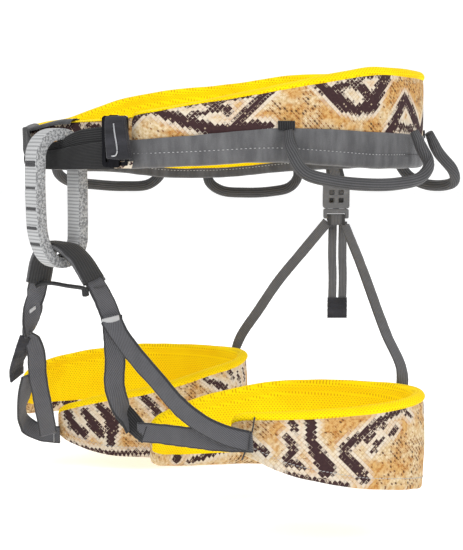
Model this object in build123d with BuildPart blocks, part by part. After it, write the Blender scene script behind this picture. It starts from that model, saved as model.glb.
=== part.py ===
from build123d import *
import os
from math import cos, hypot, pi, radians, sin

# A sit harness for climbing, hanging as if worn.
# Origin: middle of the waist opening, at the height of the belt webbing.
# -X is the wearer's front, +X the back, -Y the wearer's left, +Z up. Millimetres.

# ---------------------------------------------------------------- driving sizes
WAIST_OVAL = (0.0, 0.0, 158.7, 115.0)      # centre x, centre y, half length, half width
LEFT_LEG_OVAL = (45.0, -110.0, 102.0, 60.0)
RIGHT_LEG_OVAL = (-80.0, 110.0, 102.0, 60.0)

GAP = 0.15                # clearance between neighbouring layers
SHELL = 1.3               # printed outer fabric
FOAM = 4.8
LINING = 1.3              # mesh against the wearer
PAD = SHELL + FOAM + LINING + 2 * GAP
PAD_STEP = 8.0            # degrees of arc between pad sections
STRAP_STEPS = 24          # pieces along each strap

# angle round the oval in degrees, lower edge, upper edge
WAIST_EDGES = [
    (-114, -20, 18),
    (-95, -18, 28),
    (-77, -15, 37),
    (-60, -18, 46),
    (-45, -21, 53),
    (0, -21, 51),
    (35, -22, 55),
    (68, -26, 56),
    (87, -32, 48),
    (107, -33, 43),
    (124, -27, 35),
    (144, -25, 18),
    (180, -21, 14),
    (220, -19, 14),
    (250, -17, 11),
]
LEFT_LEG_EDGES = [
    (-108, -213, -185),
    (-90, -228, -184),
    (-60, -240, -182),
    (0, -253, -180),
    (90, -250, -184),
    (135, -247, -197),
    (168, -240, -208),
]
RIGHT_LEG_EDGES = [
    (-125, -259, -229),
    (-105, -270, -219),
    (-80, -273, -211),
    (-45, -270, -197),
    (0, -262, -190),
    (90, -254, -192),
    (140, -252, -201),
    (180, -248, -213),
]

# The right end of the belt reaches round the front and dips behind the belay loop,
# then tucks under the left end. Angle, distance outside the waist oval.
WAIST_DIP = [(-114, 0.0), (188, 0.0), (212, -18.5), (230, -18.5), (246, -11.0), (250, -11.0)]

BAND_HEIGHT = [(-114, 19.0), (-95, 21.0), (-60, 25.0), (-43, 26.0), (0, 23.0), (250, 18.0)]

WEBBING = 2.2             # thickness of the belt webbing

BELAY_CENTRE = (-120.0, -83.0)
BELAY_OUTWARD = (-0.76, -0.65)
BELAY_TOP = 8.0
BELAY_BOTTOM = -94.0
BELAY_HALF_SPAN = 21.7    # half the loop's overall depth
BELAY_THICKNESS = 8.0
BELAY_WIDTH = 16.0

BRIDGE_WIDTH = 13.0
BRIDGE_THICKNESS = 1.8
SLEEVE_WIDTH = 16.0
SLEEVE_THICKNESS = 5.4
SLEEVE_WALL = 0.6

LEG_WEBBING_WIDTH = 15.0
LEG_WEBBING = 1.8
RISER_WIDTH = 10.0
RISER_THICKNESS = 1.6

CORD_RADIUS = 3.5         # gear loop, over its plastic sleeve
CORD_STANDOFF = 6.8       # from the belt to the middle of the cord's end

BUCKLE_X = 99.5           # rear release buckle
BUCKLE_Y = 95.0
BUCKLE_WIDTH = 23.0
BUCKLE_THICKNESS = 8.0
PLUG_TOP = -60.5
SOCKET_TOP = -37.0

os.makedirs("parts", exist_ok=True)


# ---------------------------------------------------------------- shared geometry
def value_at(stations, angle, column=1):
    """The value in one column of a list of stations, read in between them."""
    for first, second in zip(stations, stations[1:]):
        if angle <= second[0]:
            break
    share = (angle - first[0]) / (second[0] - first[0])
    share = min(max(share, 0.0), 1.0)
    return first[column] + share * (second[column] - first[column])


def oval_point(oval, angle, outward=0.0):
    """A plan point on an oval, moved square to it, and the outward direction."""
    centre_x, centre_y, half_length, half_width = oval
    along, across = cos(radians(angle)), sin(radians(angle))
    normal = Vector(along / half_length, across / half_width, 0).normalized()
    on_oval = Vector(centre_x + half_length * along, centre_y + half_width * across, 0)
    return on_oval + normal * outward, normal


def no_dip(angle):
    return 0.0


def waist_dip(angle):
    """How far the belt lies outside its oval, eased between the stations."""
    for first, second in zip(WAIST_DIP, WAIST_DIP[1:]):
        if angle <= second[0]:
            break
    share = min(max((angle - first[0]) / (second[0] - first[0]), 0.0), 1.0)
    eased = (1 - cos(pi * share)) / 2
    return first[1] + eased * (second[1] - first[1])


def strip_sections(oval, start, end, inner, outer, low, high, dip=no_dip):
    """Upright rectangular sections, square to an oval, ready for a loft."""
    sections = []
    steps = max(2, round(abs(end - start) / PAD_STEP))
    for number in range(steps + 1):
        angle = start + (end - start) * number / steps
        origin, normal = oval_point(oval, angle, dip(angle))
        back_along = Vector(normal.Y, -normal.X, 0)
        with BuildSketch(Plane(origin=origin, x_dir=normal, z_dir=back_along)) as section:
            middle = ((inner + outer) / 2, (low(angle) + high(angle)) / 2)
            with Locations(middle):
                Rectangle(outer - inner, high(angle) - low(angle))
        sections.append(section.sketch)
    return sections


def strap_sections(path, across, width, thickness, start=0.0, end=1.0):
    """Sections of flat webbing along a smooth path. Each across is the width's direction."""
    sections = []
    line = Edge.make_spline([Vector(*point) for point in path])
    for number in range(STRAP_STEPS + 1):
        share = start + (end - start) * number / STRAP_STEPS
        place = share * (len(across) - 1)
        first = min(int(place), len(across) - 2)
        turn = place - first
        side = Vector(*across[first]) * (1 - turn) + Vector(*across[first + 1]) * turn
        along = line % share
        side = (side - along * side.dot(along)).normalized()
        with BuildSketch(Plane(origin=line @ share, x_dir=side, z_dir=along)) as section:
            Rectangle(width, thickness)
        sections.append(section.sketch)
    return sections


def finish(builder, label):
    builder.part.label = label
    export_step(builder.part, f"parts/{label}.step")


# ---------------------------------------------------------------- padded strips
def padded_layers(prefix, oval, edges, start, end, dip=no_dip):
    """The printed shell, foam and mesh lining of one padded strip."""
    layers = [
        ("shell", -SHELL, 0.0),
        ("foam", -SHELL - GAP - FOAM, -SHELL - GAP),
        ("lining", -PAD, -PAD + LINING),
    ]
    for name, inner, outer in layers:
        with BuildPart() as layer:
            loft(
                strip_sections(
                    oval,
                    start,
                    end,
                    inner,
                    outer,
                    lambda angle: value_at(edges, angle, 1),
                    lambda angle: value_at(edges, angle, 2),
                    dip,
                )
            )
        finish(layer, f"{prefix}_{name}")


padded_layers("waist", WAIST_OVAL, WAIST_EDGES, -114, 250, waist_dip)
padded_layers("leg_left", LEFT_LEG_OVAL, LEFT_LEG_EDGES, -108, 168)
padded_layers("leg_right", RIGHT_LEG_OVAL, RIGHT_LEG_EDGES, -125, 180)

# Plain fabric band over the lower part of the belt's outer face
BAND_THICKNESS = 1.2
BAND_GAP = 0.25
with BuildPart() as waist_band:
    loft(
        strip_sections(
            WAIST_OVAL,
            -114,
            174,
            BAND_GAP,
            BAND_GAP + BAND_THICKNESS,
            lambda angle: value_at(WAIST_EDGES, angle, 1),
            lambda angle: value_at(WAIST_EDGES, angle, 1) + value_at(BAND_HEIGHT, angle),
        )
    )
finish(waist_band, "waist_band")

# Stitched binding inside the lower edge, round the wearer's right side
BINDING_HEIGHT = 9.0
BINDING_THICKNESS = 1.0
with BuildPart() as waist_binding:
    loft(
        strip_sections(
            WAIST_OVAL,
            40,
            176,
            -PAD - GAP - BINDING_THICKNESS,
            -PAD - GAP,
            lambda angle: value_at(WAIST_EDGES, angle, 1),
            lambda angle: value_at(WAIST_EDGES, angle, 1) + BINDING_HEIGHT,
        )
    )
finish(waist_binding, "waist_binding")

# ---------------------------------------------------------------- front belt webbing
# angle, lower edge, upper edge: gathered down where the belay loop passes over it
WEBBING_EDGES = [
    (176, -20, 9),
    (204, -21, 8),
    (209, -21, -4.2),
    (229, -21, -4.2),
    (235, -20, 8),
    (242, -20, 10),
]
WEBBING_OUT = [(176, 1.6), (204, 3.0), (227, 3.4), (242, 3.2)]
WEBBING_END = 243.0
WEBBING_START = 177.0
TAIL_START = 185.0


def webbing_out(angle):
    return value_at(WEBBING_OUT, angle)


def webbing_low(angle):
    return value_at(WEBBING_EDGES, angle, 1)


def webbing_high(angle):
    return value_at(WEBBING_EDGES, angle, 2)


def webbing_layer(start, inner):
    """Sections of one thickness of belt webbing, from an angle round to the buckle."""
    return strip_sections(
        WAIST_OVAL,
        start,
        WEBBING_END,
        inner,
        inner + WEBBING,
        webbing_low,
        webbing_high,
        webbing_out,
    )


with BuildPart() as waist_webbing:
    loft(webbing_layer(WEBBING_START, 0), ruled=True)
finish(waist_webbing, "waist_webbing")

with BuildPart() as webbing_tail:
    loft(webbing_layer(TAIL_START, WEBBING + GAP), ruled=True)
finish(webbing_tail, "webbing_tail")

# ---------------------------------------------------------------- waist buckle
WAIST_BUCKLE_ANGLE = 243.5
WAIST_BUCKLE_OUT = 8.6
FRAME_LENGTH = 20.0
FRAME_HEIGHT = 36.0
FRAME_THICKNESS = 2.0
FRAME_SLOT = 3.6
SLIDER_LENGTH = 8.0
SLIDER_THICKNESS = 1.6
COVER_LENGTH = 22.0
COVER_HEIGHT = 40.0
COVER_THICKNESS = 1.6
buckle_origin, buckle_normal = oval_point(WAIST_OVAL, WAIST_BUCKLE_ANGLE, WAIST_BUCKLE_OUT)
buckle_origin = buckle_origin + Vector(0, 0, -1.5)
buckle_along = Vector(-buckle_normal.Y, buckle_normal.X, 0)
buckle_plane = Plane(origin=buckle_origin, x_dir=buckle_along, z_dir=buckle_normal)

with BuildPart() as buckle_frame:
    with BuildSketch(buckle_plane):
        RectangleRounded(FRAME_LENGTH, FRAME_HEIGHT, 2.5)
        with Locations((-5.5, 0), (5.5, 0)):
            Rectangle(FRAME_SLOT, FRAME_HEIGHT - 7, mode=Mode.SUBTRACT)
    extrude(amount=FRAME_THICKNESS)
finish(buckle_frame, "buckle_frame")

with BuildPart() as buckle_slider:
    with BuildSketch(buckle_plane.offset(FRAME_THICKNESS + GAP)):
        RectangleRounded(SLIDER_LENGTH, FRAME_HEIGHT + 1, 1.5)
    extrude(amount=SLIDER_THICKNESS)
finish(buckle_slider, "buckle_slider")

with BuildPart() as buckle_cover:
    cover_out = FRAME_THICKNESS + SLIDER_THICKNESS + 2 * GAP
    with BuildSketch(buckle_plane.offset(cover_out)):
        with Locations((3, 0)):
            RectangleRounded(COVER_LENGTH, COVER_HEIGHT, 3)
    extrude(amount=COVER_THICKNESS)
finish(buckle_cover, "buckle_cover")

# ---------------------------------------------------------------- belay loop
belay_along = Vector(-BELAY_OUTWARD[1], BELAY_OUTWARD[0], 0).normalized()
belay_out = Vector(*BELAY_OUTWARD, 0).normalized()
belay_middle = Vector(*BELAY_CENTRE, (BELAY_TOP + BELAY_BOTTOM) / 2)
BELAY_HEIGHT = BELAY_TOP - BELAY_BOTTOM
belay_plane = Plane(origin=belay_middle, x_dir=belay_out, z_dir=belay_along)

with BuildPart() as belay_loop:
    with BuildSketch(belay_plane.offset(-BELAY_WIDTH / 2)):
        SlotOverall(BELAY_HEIGHT, 2 * BELAY_HALF_SPAN, rotation=90)
        SlotOverall(
            BELAY_HEIGHT - 2 * BELAY_THICKNESS,
            2 * (BELAY_HALF_SPAN - BELAY_THICKNESS),
            rotation=90,
            mode=Mode.SUBTRACT,
        )
    extrude(amount=BELAY_WIDTH)
finish(belay_loop, "belay_loop")

TACK_HEIGHTS = (26.0, 11.0, -4.0, -18.0, -31.0)      # above the loop's middle
TACK_DEPTH = 0.5
with BuildPart() as belay_loop_tacks:
    for height in TACK_HEIGHTS:
        centre = belay_middle + belay_out * (BELAY_HALF_SPAN + GAP) + Vector(0, 0, height)
        with BuildSketch(Plane(origin=centre, x_dir=belay_along, z_dir=belay_out)):
            Rectangle(BELAY_WIDTH - 3, 2.4)
        extrude(amount=TACK_DEPTH)
finish(belay_loop_tacks, "belay_loop_tacks")

# ---------------------------------------------------------------- bridge
# Webbing from one leg loop, up through the belay loop, down to the other
RADIAL = (-0.74, -0.67, 0)
BRIDGE_PATH = [
    (-151, -20, -155),
    (-147, -38, -130),
    (-140, -52, -104),
    (-133, -66, -86),
    (-127.5, -74, -78.8),
    (-120, -83, -78),
    (-112.5, -91, -78.8),
    (-105, -95.5, -86),
    (-92, -100, -102),
    (-86, -101, -116),
    (-79, -101, -131),
]
BRIDGE_ACROSS = [(-0.9, -0.3, 0)] + [RADIAL] * 8 + [(-0.85, -0.5, 0), (-0.95, -0.3, 0)]
SLEEVE_START, SLEEVE_END = 0.33, 0.83      # shares of the bridge's length

with BuildPart() as bridge_webbing:
    loft(
        strap_sections(BRIDGE_PATH, BRIDGE_ACROSS, BRIDGE_WIDTH, BRIDGE_THICKNESS),
        ruled=True,
    )
finish(bridge_webbing, "bridge_webbing")

# The sleeve is open at both ends: a flat tube round the middle of the webbing
def sleeve_sections(width, thickness):
    return strap_sections(
        BRIDGE_PATH, BRIDGE_ACROSS, width, thickness, SLEEVE_START, SLEEVE_END
    )


with BuildPart() as bridge_sleeve:
    loft(sleeve_sections(SLEEVE_WIDTH, SLEEVE_THICKNESS), ruled=True)
    loft(
        sleeve_sections(SLEEVE_WIDTH - 2 * SLEEVE_WALL, SLEEVE_THICKNESS - 2 * SLEEVE_WALL),
        ruled=True,
        mode=Mode.SUBTRACT,
    )
finish(bridge_sleeve, "bridge_sleeve")

with BuildPart() as bridge_elastic:
    loft(
        strap_sections(
            [(-134, -62, -112), (-115, -80, -114), (-99, -93, -112)],
            [(0, 0, 1)] * 3,
            4.0,
            1.6,
        ),
        ruled=True,
    )
finish(bridge_elastic, "bridge_elastic")

# ---------------------------------------------------------------- leg straps
LEG_STRAPS = {
    "strap_left_front": (
        [(-79, -104, -136), (-79, -106, -158), (-78, -105, -181), (-75, -102, -204)],
        [(1, 0, 0)] * 4,
    ),
    "strap_left_hem": (
        [(-63, -97, -219), (-42, -118, -214), (-16, -146, -210), (7, -172, -207)],
        [(0, 0, 1)] * 4,
    ),
    "strap_left_side": (
        [
            (-77, -111, -137),
            (-62, -123, -148),
            (-37, -145, -171),
            (-8, -170, -193),
            (16, -180, -200),
        ],
        [(0.2, -0.3, 1)] * 5,
    ),
    "strap_right_side": (
        [(-152, -17, -160), (-150, -8, -180), (-150, 26, -215), (-143, 50, -240)],
        [(1, 0, 0)] * 4,
    ),
    "strap_right_front": (
        [(-160, -14, -163), (-172, 14, -186), (-180, 60, -215), (-187, 84, -228)],
        [(1, 0, 0)] * 4,
    ),
    "strap_right_hem": (
        [(-186, 90, -240), (-176, 66, -248), (-161, 55, -252), (-146, 51, -254)],
        [(0, 0, 1)] * 4,
    ),
}
for name, (path, across) in LEG_STRAPS.items():
    with BuildPart() as leg_strap:
        loft(strap_sections(path, across, LEG_WEBBING_WIDTH, LEG_WEBBING), ruled=True)
    finish(leg_strap, name)

# ---------------------------------------------------------------- rear risers
with BuildPart() as riser_right:
    loft(
        strap_sections(
            [(92, 94, -72), (50, 118, -127), (17, 141, -180), (11, 145, -205)],
            [(0.8, 0, -0.6)] * 3 + [(0.7, -0.7, 0)],
            RISER_WIDTH,
            RISER_THICKNESS,
        ),
        ruled=True,
    )
finish(riser_right, "riser_right")

with BuildPart() as riser_left:
    loft(
        strap_sections(
            [(107, 94, -74), (116, 40, -104), (128, -40, -150), (136, -74, -173), (137, -75, -192)],
            [(0.8, 0.4, 0)] * 4 + [(0.7, -0.7, 0)],
            RISER_WIDTH,
            RISER_THICKNESS,
        ),
        ruled=True,
    )
finish(riser_left, "riser_left")

TAIL_TOP = -72.0
TAIL_BOTTOM = -140.0
TAIL_Y = 99.5
with BuildPart() as riser_tails:
    with BuildSketch(Plane.XY.offset(TAIL_BOTTOM)):
        with Locations((97.2, TAIL_Y), (106.2, TAIL_Y)):
            Rectangle(7.2, RISER_THICKNESS)
    extrude(amount=TAIL_TOP - TAIL_BOTTOM)
finish(riser_tails, "riser_tails")

with BuildPart() as tail_tab:
    with BuildSketch(Plane.XY.offset(TAIL_BOTTOM - GAP)):
        with Locations((101.7, TAIL_Y)):
            RectangleRounded(17.0, 3.4, 1.2)
    extrude(amount=-17)
finish(tail_tab, "tail_tab")

# ---------------------------------------------------------------- rear buckle
buckle_front = Plane(
    origin=(BUCKLE_X, BUCKLE_Y, 0), x_dir=(1, 0, 0), z_dir=(0, -1, 0)
)
SOCKET_WALL = 1.6
SOCKET_BOTTOM = -60.0
SLOT_WIDTH = 16.0
SLOT_HEIGHT = 2.4
SLOT_INSET = 2.6          # from the socket's top edge to the middle of its slot
CAVITY_TOP = -47.6
MOUTH_TOP = -57.0         # the closed ring round the socket's mouth ends here
FRONT_WINDOWS = [(-4, -46), (4, -46), (-4, -53), (4, -53)]
with BuildPart() as rear_buckle_socket:
    with BuildSketch(buckle_front.offset(-BUCKLE_THICKNESS / 2)):
        with Locations((0, (SOCKET_TOP + SOCKET_BOTTOM) / 2)):
            RectangleRounded(BUCKLE_WIDTH, SOCKET_TOP - SOCKET_BOTTOM, 2.0)
        with Locations((0, SOCKET_TOP - SLOT_INSET)):
            Rectangle(SLOT_WIDTH, SLOT_HEIGHT, mode=Mode.SUBTRACT)
    extrude(amount=BUCKLE_THICKNESS)
    # the cavity for the plug, and the side windows for its latches
    cavity_depth = BUCKLE_THICKNESS - 2 * SOCKET_WALL
    with BuildSketch(buckle_front.offset(-cavity_depth / 2)):
        with Locations((0, (SOCKET_BOTTOM + CAVITY_TOP) / 2)):
            Rectangle(BUCKLE_WIDTH - 4, CAVITY_TOP - SOCKET_BOTTOM + GAP)
        with Locations((0, (MOUTH_TOP + CAVITY_TOP) / 2)):
            Rectangle(BUCKLE_WIDTH + 2, CAVITY_TOP - MOUTH_TOP)
    extrude(amount=cavity_depth, mode=Mode.SUBTRACT)
    # four small windows in the front
    with BuildSketch(buckle_front.offset(SOCKET_WALL)):
        with Locations(*FRONT_WINDOWS):
            RectangleRounded(4.6, 4.2, 0.8)
    extrude(amount=BUCKLE_THICKNESS, mode=Mode.SUBTRACT)
finish(rear_buckle_socket, "rear_buckle_socket")

PLUG_BOTTOM = -69.0
PLUG_THICKNESS = 6.0
TONGUE_THICKNESS = 3.0
TONGUE_TOP = -48.4
with BuildPart() as rear_buckle_plug:
    with BuildSketch(buckle_front.offset(-PLUG_THICKNESS / 2)):
        with Locations((0, (PLUG_TOP + PLUG_BOTTOM) / 2)):
            RectangleRounded(BUCKLE_WIDTH - 1, PLUG_TOP - PLUG_BOTTOM, 1.5)
        with Locations((0, PLUG_BOTTOM + 3.2)):
            Rectangle(SLOT_WIDTH, SLOT_HEIGHT, mode=Mode.SUBTRACT)
    extrude(amount=PLUG_THICKNESS)
    with BuildSketch(buckle_front.offset(-TONGUE_THICKNESS / 2)):
        with Locations((0, (PLUG_TOP - 0.5 + TONGUE_TOP) / 2)):
            Rectangle(5, TONGUE_TOP - PLUG_TOP + 0.5)
    extrude(amount=TONGUE_THICKNESS)
finish(rear_buckle_plug, "rear_buckle_plug")

ARM_PIVOT = 8.0           # from the buckle's middle to each latch arm's root
ARM_ROOT = 1.0            # radius of the root that the arm turns on
ARM_THICKNESS = 3.6
# outline of an arm, out from the pivot and up from it. The outer edge flares by no
# more than the arm has turned inward when the socket's mouth passes that height.
ARM_OUTLINE = [
    (-1.0, 0), (1.0, 0), (1.2, 2.6), (1.7, 6.0), (2.2, 8.0), (2.7, 9.6),
    (2.7, 10.2), (0.8, 11.0), (-0.8, 11.0), (-1.0, 0),
]
for name, side in (("latch_arm_low_x", -1), ("latch_arm_high_x", 1)):
    root = PLUG_TOP + GAP + ARM_ROOT
    with BuildPart() as latch_arm:
        with BuildSketch(buckle_front.offset(-ARM_THICKNESS / 2)):
            with Locations((side * ARM_PIVOT, root)):
                Circle(ARM_ROOT)
            with BuildLine():
                Polyline(*[(side * (ARM_PIVOT + out), root + up) for out, up in ARM_OUTLINE])
            make_face()
        extrude(amount=ARM_THICKNESS)
    finish(latch_arm, name)

with BuildPart() as rear_strap:
    loft(
        strap_sections(
            [(92, 84, -27.5), (95, 90, -30), (97.5, 93, -32), (98.5, 94, -33.4)],
            [(1, 0, 0)] * 4,
            15.0,
            1.8,
        ),
        ruled=True,
    )
finish(rear_strap, "rear_strap")

# ---------------------------------------------------------------- gear loops
def belt_side(angle, height):
    """A point where a gear loop's end meets the belt."""
    point, _ = oval_point(WAIST_OVAL, angle, CORD_STANDOFF)
    return (point.X, point.Y, height)


GEAR_LOOPS = {
    "gear_loop_left_front": [
        belt_side(-73, 6),
        (51, -120, -10),
        (59, -121, -23),
        (78, -120, -29),
        (103, -111, -32),
        (127, -97, -32),
        (147, -79, -28),
        (155, -65, -18),
        (150, -60, -6),
        belt_side(-29, 6),
    ],
    "gear_loop_left_rear": [
        belt_side(2, 5),
        (174, 10, -10),
        (187, 14, -25),
        (190, 24, -34),
        (183, 38, -38),
        (169, 52, -37),
        (156, 61, -29),
        (148, 64, -14),
        belt_side(28, 4),
    ],
    "gear_loop_right_front": [
        belt_side(144, 4),
        (-142, 79, -14),
        (-143, 88, -28),
        (-134, 103, -37),
        (-116, 119, -40),
        (-90, 129, -42),
        (-66, 129, -40),
        (-54, 124, -28),
        belt_side(108, 2),
    ],
    "gear_loop_right_rear": [
        belt_side(95, 2),
        (-14, 125, -20),
        (-12, 129, -38),
        (-1, 132, -46),
        (20, 133, -48),
        (43, 132, -47),
        (60, 128, -43),
        (67, 122, -34),
        (66, 116, -18),
        belt_side(66, 2),
    ],
}
for name, path in GEAR_LOOPS.items():
    with BuildPart() as gear_loop:
        with BuildLine() as middle_line:
            Spline(*path)
        start_plane = Plane(origin=middle_line.line @ 0, z_dir=middle_line.line % 0)
        with BuildSketch(start_plane):
            Circle(CORD_RADIUS)
        sweep(path=middle_line.line)
    finish(gear_loop, name)

# Sewn tabs that hold the gear loops' ends, above each end
TAB_LENGTH, TAB_HEIGHT, TAB_THICKNESS = 9.0, 7.0, 1.2
TAB_RISE = 8.5            # from a cord's end up to the middle of its tab
TAB_OFF_BAND = 0.35       # how far a tab stands off the band
TAB_SINK = CORD_STANDOFF - BAND_THICKNESS - 2 * GAP - TAB_THICKNESS - TAB_OFF_BAND
with BuildPart() as gear_loop_tabs:
    for path in GEAR_LOOPS.values():
        for end in (path[0], path[-1]):
            outward = Vector(end[0] / WAIST_OVAL[2] ** 2, end[1] / WAIST_OVAL[3] ** 2, 0)
            outward = outward.normalized()
            origin = Vector(*end) - outward * TAB_SINK + Vector(0, 0, TAB_RISE)
            along = Vector(-outward.Y, outward.X, 0)
            with BuildSketch(Plane(origin=origin, x_dir=along, z_dir=outward)):
                RectangleRounded(TAB_LENGTH, TAB_HEIGHT, 1.5)
            extrude(amount=TAB_THICKNESS)
finish(gear_loop_tabs, "gear_loop_tabs")
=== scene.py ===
import math

import bpy
import numpy as np
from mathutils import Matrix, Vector, noise


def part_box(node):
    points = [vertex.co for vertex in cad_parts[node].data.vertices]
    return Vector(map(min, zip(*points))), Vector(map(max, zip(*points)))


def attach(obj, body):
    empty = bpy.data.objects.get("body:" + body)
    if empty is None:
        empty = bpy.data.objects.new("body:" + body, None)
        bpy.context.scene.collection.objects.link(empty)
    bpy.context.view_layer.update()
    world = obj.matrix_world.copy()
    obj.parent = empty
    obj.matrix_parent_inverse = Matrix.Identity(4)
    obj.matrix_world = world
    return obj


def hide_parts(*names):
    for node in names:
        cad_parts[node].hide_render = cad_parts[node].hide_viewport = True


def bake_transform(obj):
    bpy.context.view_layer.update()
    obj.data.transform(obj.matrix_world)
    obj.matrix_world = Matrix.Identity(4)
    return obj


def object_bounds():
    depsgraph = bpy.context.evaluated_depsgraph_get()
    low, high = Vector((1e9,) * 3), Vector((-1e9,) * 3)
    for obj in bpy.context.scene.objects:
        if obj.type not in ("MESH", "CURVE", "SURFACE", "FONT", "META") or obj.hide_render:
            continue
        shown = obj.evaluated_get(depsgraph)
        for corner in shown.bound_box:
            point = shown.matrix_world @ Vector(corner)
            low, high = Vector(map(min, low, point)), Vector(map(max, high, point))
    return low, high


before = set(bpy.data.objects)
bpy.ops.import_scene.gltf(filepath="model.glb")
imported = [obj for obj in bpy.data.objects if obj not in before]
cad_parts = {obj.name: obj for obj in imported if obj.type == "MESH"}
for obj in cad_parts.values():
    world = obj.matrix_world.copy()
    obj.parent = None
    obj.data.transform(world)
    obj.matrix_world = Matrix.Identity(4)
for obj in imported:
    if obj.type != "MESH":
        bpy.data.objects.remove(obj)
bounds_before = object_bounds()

# A climbing harness. Lengths are millimetres until a mesh is made, then metres.
MM = 0.001

# ------------------------------------------------------------------ plan shapes
# The belt and leg pads follow ovals. The belt's size comes from the imported solids; the leg ovals are given as
# numbers.


def box_mm(node):
    low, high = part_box(node)
    return np.array(low) / MM, np.array(high) / MM


def belt_oval():
    low, high = box_mm("waist_shell")
    return (0.0, 0.0, (high[0] - low[0]) / 2, (high[1] - low[1]) / 2)


WAIST = belt_oval()
LEFT_LEG = (45.0, -110.0, 102.0, 60.0)
RIGHT_LEG = (-80.0, 110.0, 102.0, 60.0)
PAD = 7.7

# angle round the oval in degrees, lower edge, upper edge
WAIST_EDGES = [
    (-114, -20, 18), (-95, -18, 28), (-77, -15, 37), (-60, -18, 46), (-45, -21, 53),
    (0, -21, 51), (35, -22, 55), (68, -26, 56), (87, -32, 48), (107, -33, 43),
    (124, -27, 35), (144, -25, 18), (166, -22, 12), (180, -21, 8.5), (196, -20, 8.5),
    (207, -19, 14), (220, -19, 14), (235, -18, 15.5), (250, -17, 18.5),
]
LEFT_LEG_EDGES = [
    (-108, -213, -185), (-90, -228, -184), (-60, -240, -182), (0, -253, -180),
    (90, -250, -184), (135, -247, -197), (168, -240, -208),
]
RIGHT_LEG_EDGES = [
    (-125, -259, -229), (-105, -270, -219), (-80, -273, -211), (-45, -270, -197),
    (0, -262, -190), (90, -254, -192), (140, -252, -201), (180, -248, -213),
]
WAIST_DIP = [(-114, 0.0), (170, 0.0), (188, -6.0), (212, -18.5), (230, -18.5), (246, -11.0),
             (250, -11.0)]
BAND_HEIGHT = [(-114, 19.0), (-95, 21.0), (-60, 25.0), (-43, 26.0), (0, 23.0), (250, 18.0)]


def value_at(stations, angle, column=1):
    """The value in a column, eased between the stations either side of an angle."""
    place = np.interp(angle, [row[0] for row in stations], [row[column] for row in stations])
    return float(place)


def smooth_value(stations, angle, column=1, spread=6.0):
    """value_at, averaged over a few degrees so that the edge has no corners."""
    offsets = (-1.0, -0.5, 0.0, 0.5, 1.0)
    return sum(value_at(stations, angle + spread * k, column) for k in offsets) / len(offsets)


def waist_dip(angle):
    for first, second in zip(WAIST_DIP, WAIST_DIP[1:]):
        if angle <= second[0]:
            break
    share = min(max((angle - first[0]) / (second[0] - first[0]), 0.0), 1.0)
    return first[1] + (1 - math.cos(math.pi * share)) / 2 * (second[1] - first[1])


def oval_point(oval, angle, outward=0.0):
    centre_x, centre_y, a, b = oval
    c, s = math.cos(math.radians(angle)), math.sin(math.radians(angle))
    normal = np.array([c / a, s / b, 0.0])
    normal = normal / np.linalg.norm(normal)
    return np.array([centre_x + a * c, centre_y + b * s, 0.0]) + normal * outward, normal


# ------------------------------------------------------------------ mesh building
def unit(v):
    v = np.array(v, float)
    return v / np.linalg.norm(v)


def sweep(name, frames, profile, materials, closed_path=False, closed_profile=True, caps=True):
    """A surface swept through frames.

    frames: (origin, x direction, y direction) per station.
    profile(i): (x, y, across, material number) per point of the section at station i.
    Each vertex keeps its place on the cloth, in mm along and across, for the weaves.
    """
    verts, cloth, mats = [], [], None
    along, last = 0.0, None
    for i, (origin, x_dir, y_dir) in enumerate(frames):
        if last is not None:
            along += float(np.linalg.norm(origin - last))
        last = origin
        points = profile(i)
        if mats is None:
            mats = [p[3] for p in points]
        for x, y, across, _ in points:
            verts.append((origin + x * x_dir + y * y_dir) * MM)
            cloth.append((along, across, 0.0))
    n = len(mats)
    rows = len(frames)
    faces, face_mats = [], []
    for i in range(rows if closed_path else rows - 1):
        k = (i + 1) % rows
        for j in range(n if closed_profile else n - 1):
            m = (j + 1) % n
            faces.append((i * n + j, i * n + m, k * n + m, k * n + j))
            face_mats.append(mats[j])
    if caps and closed_profile and not closed_path:
        faces.append(tuple(reversed(range(n))))
        faces.append(tuple((rows - 1) * n + j for j in range(n)))
        face_mats += [mats[0], mats[0]]
    return make_object(name, verts, faces, face_mats, materials, cloth)


def make_object(name, verts, faces, face_mats, materials, cloth=None):
    mesh = bpy.data.meshes.new(name)
    mesh.from_pydata([tuple(v) for v in verts], [], faces)
    for material in materials:
        mesh.materials.append(material)
    mesh.polygons.foreach_set("material_index", face_mats)
    mesh.polygons.foreach_set("use_smooth", [True] * len(faces))
    if cloth is not None:
        attribute = mesh.attributes.new("cloth", "FLOAT_VECTOR", "POINT")
        attribute.data.foreach_set("vector", np.array(cloth, np.float32).ravel())
    mesh.update()
    obj = bpy.data.objects.new(name, mesh)
    bpy.context.scene.collection.objects.link(obj)
    return obj


def apply_modifiers(obj):
    depsgraph = bpy.context.evaluated_depsgraph_get()
    mesh = bpy.data.meshes.new_from_object(obj.evaluated_get(depsgraph))
    obj.modifiers.clear()
    obj.data = mesh
    return obj


def subdivide(obj, levels=1):
    modifier = obj.modifiers.new("round", "SUBSURF")
    modifier.levels = levels
    modifier.render_levels = levels
    return apply_modifiers(obj)


def roughen(obj, size_mm, height_mm, seed=0.0):
    """Slow waves in a fabric surface, moved along its normals."""
    mesh = obj.data
    n = len(mesh.vertices)
    places, normals = np.zeros(n * 3), np.zeros(n * 3)
    mesh.vertices.foreach_get("co", places)
    mesh.vertices.foreach_get("normal", normals)
    places, normals = places.reshape(-1, 3), normals.reshape(-1, 3)
    scaled = places / (size_mm * MM) + np.array([seed, 2.3 * seed, 0.7])
    waves = np.array([noise.noise(Vector(place)) for place in scaled])
    moved = places + normals * waves[:, None] * height_mm * MM
    mesh.vertices.foreach_set("co", moved.ravel())
    mesh.update()


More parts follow.
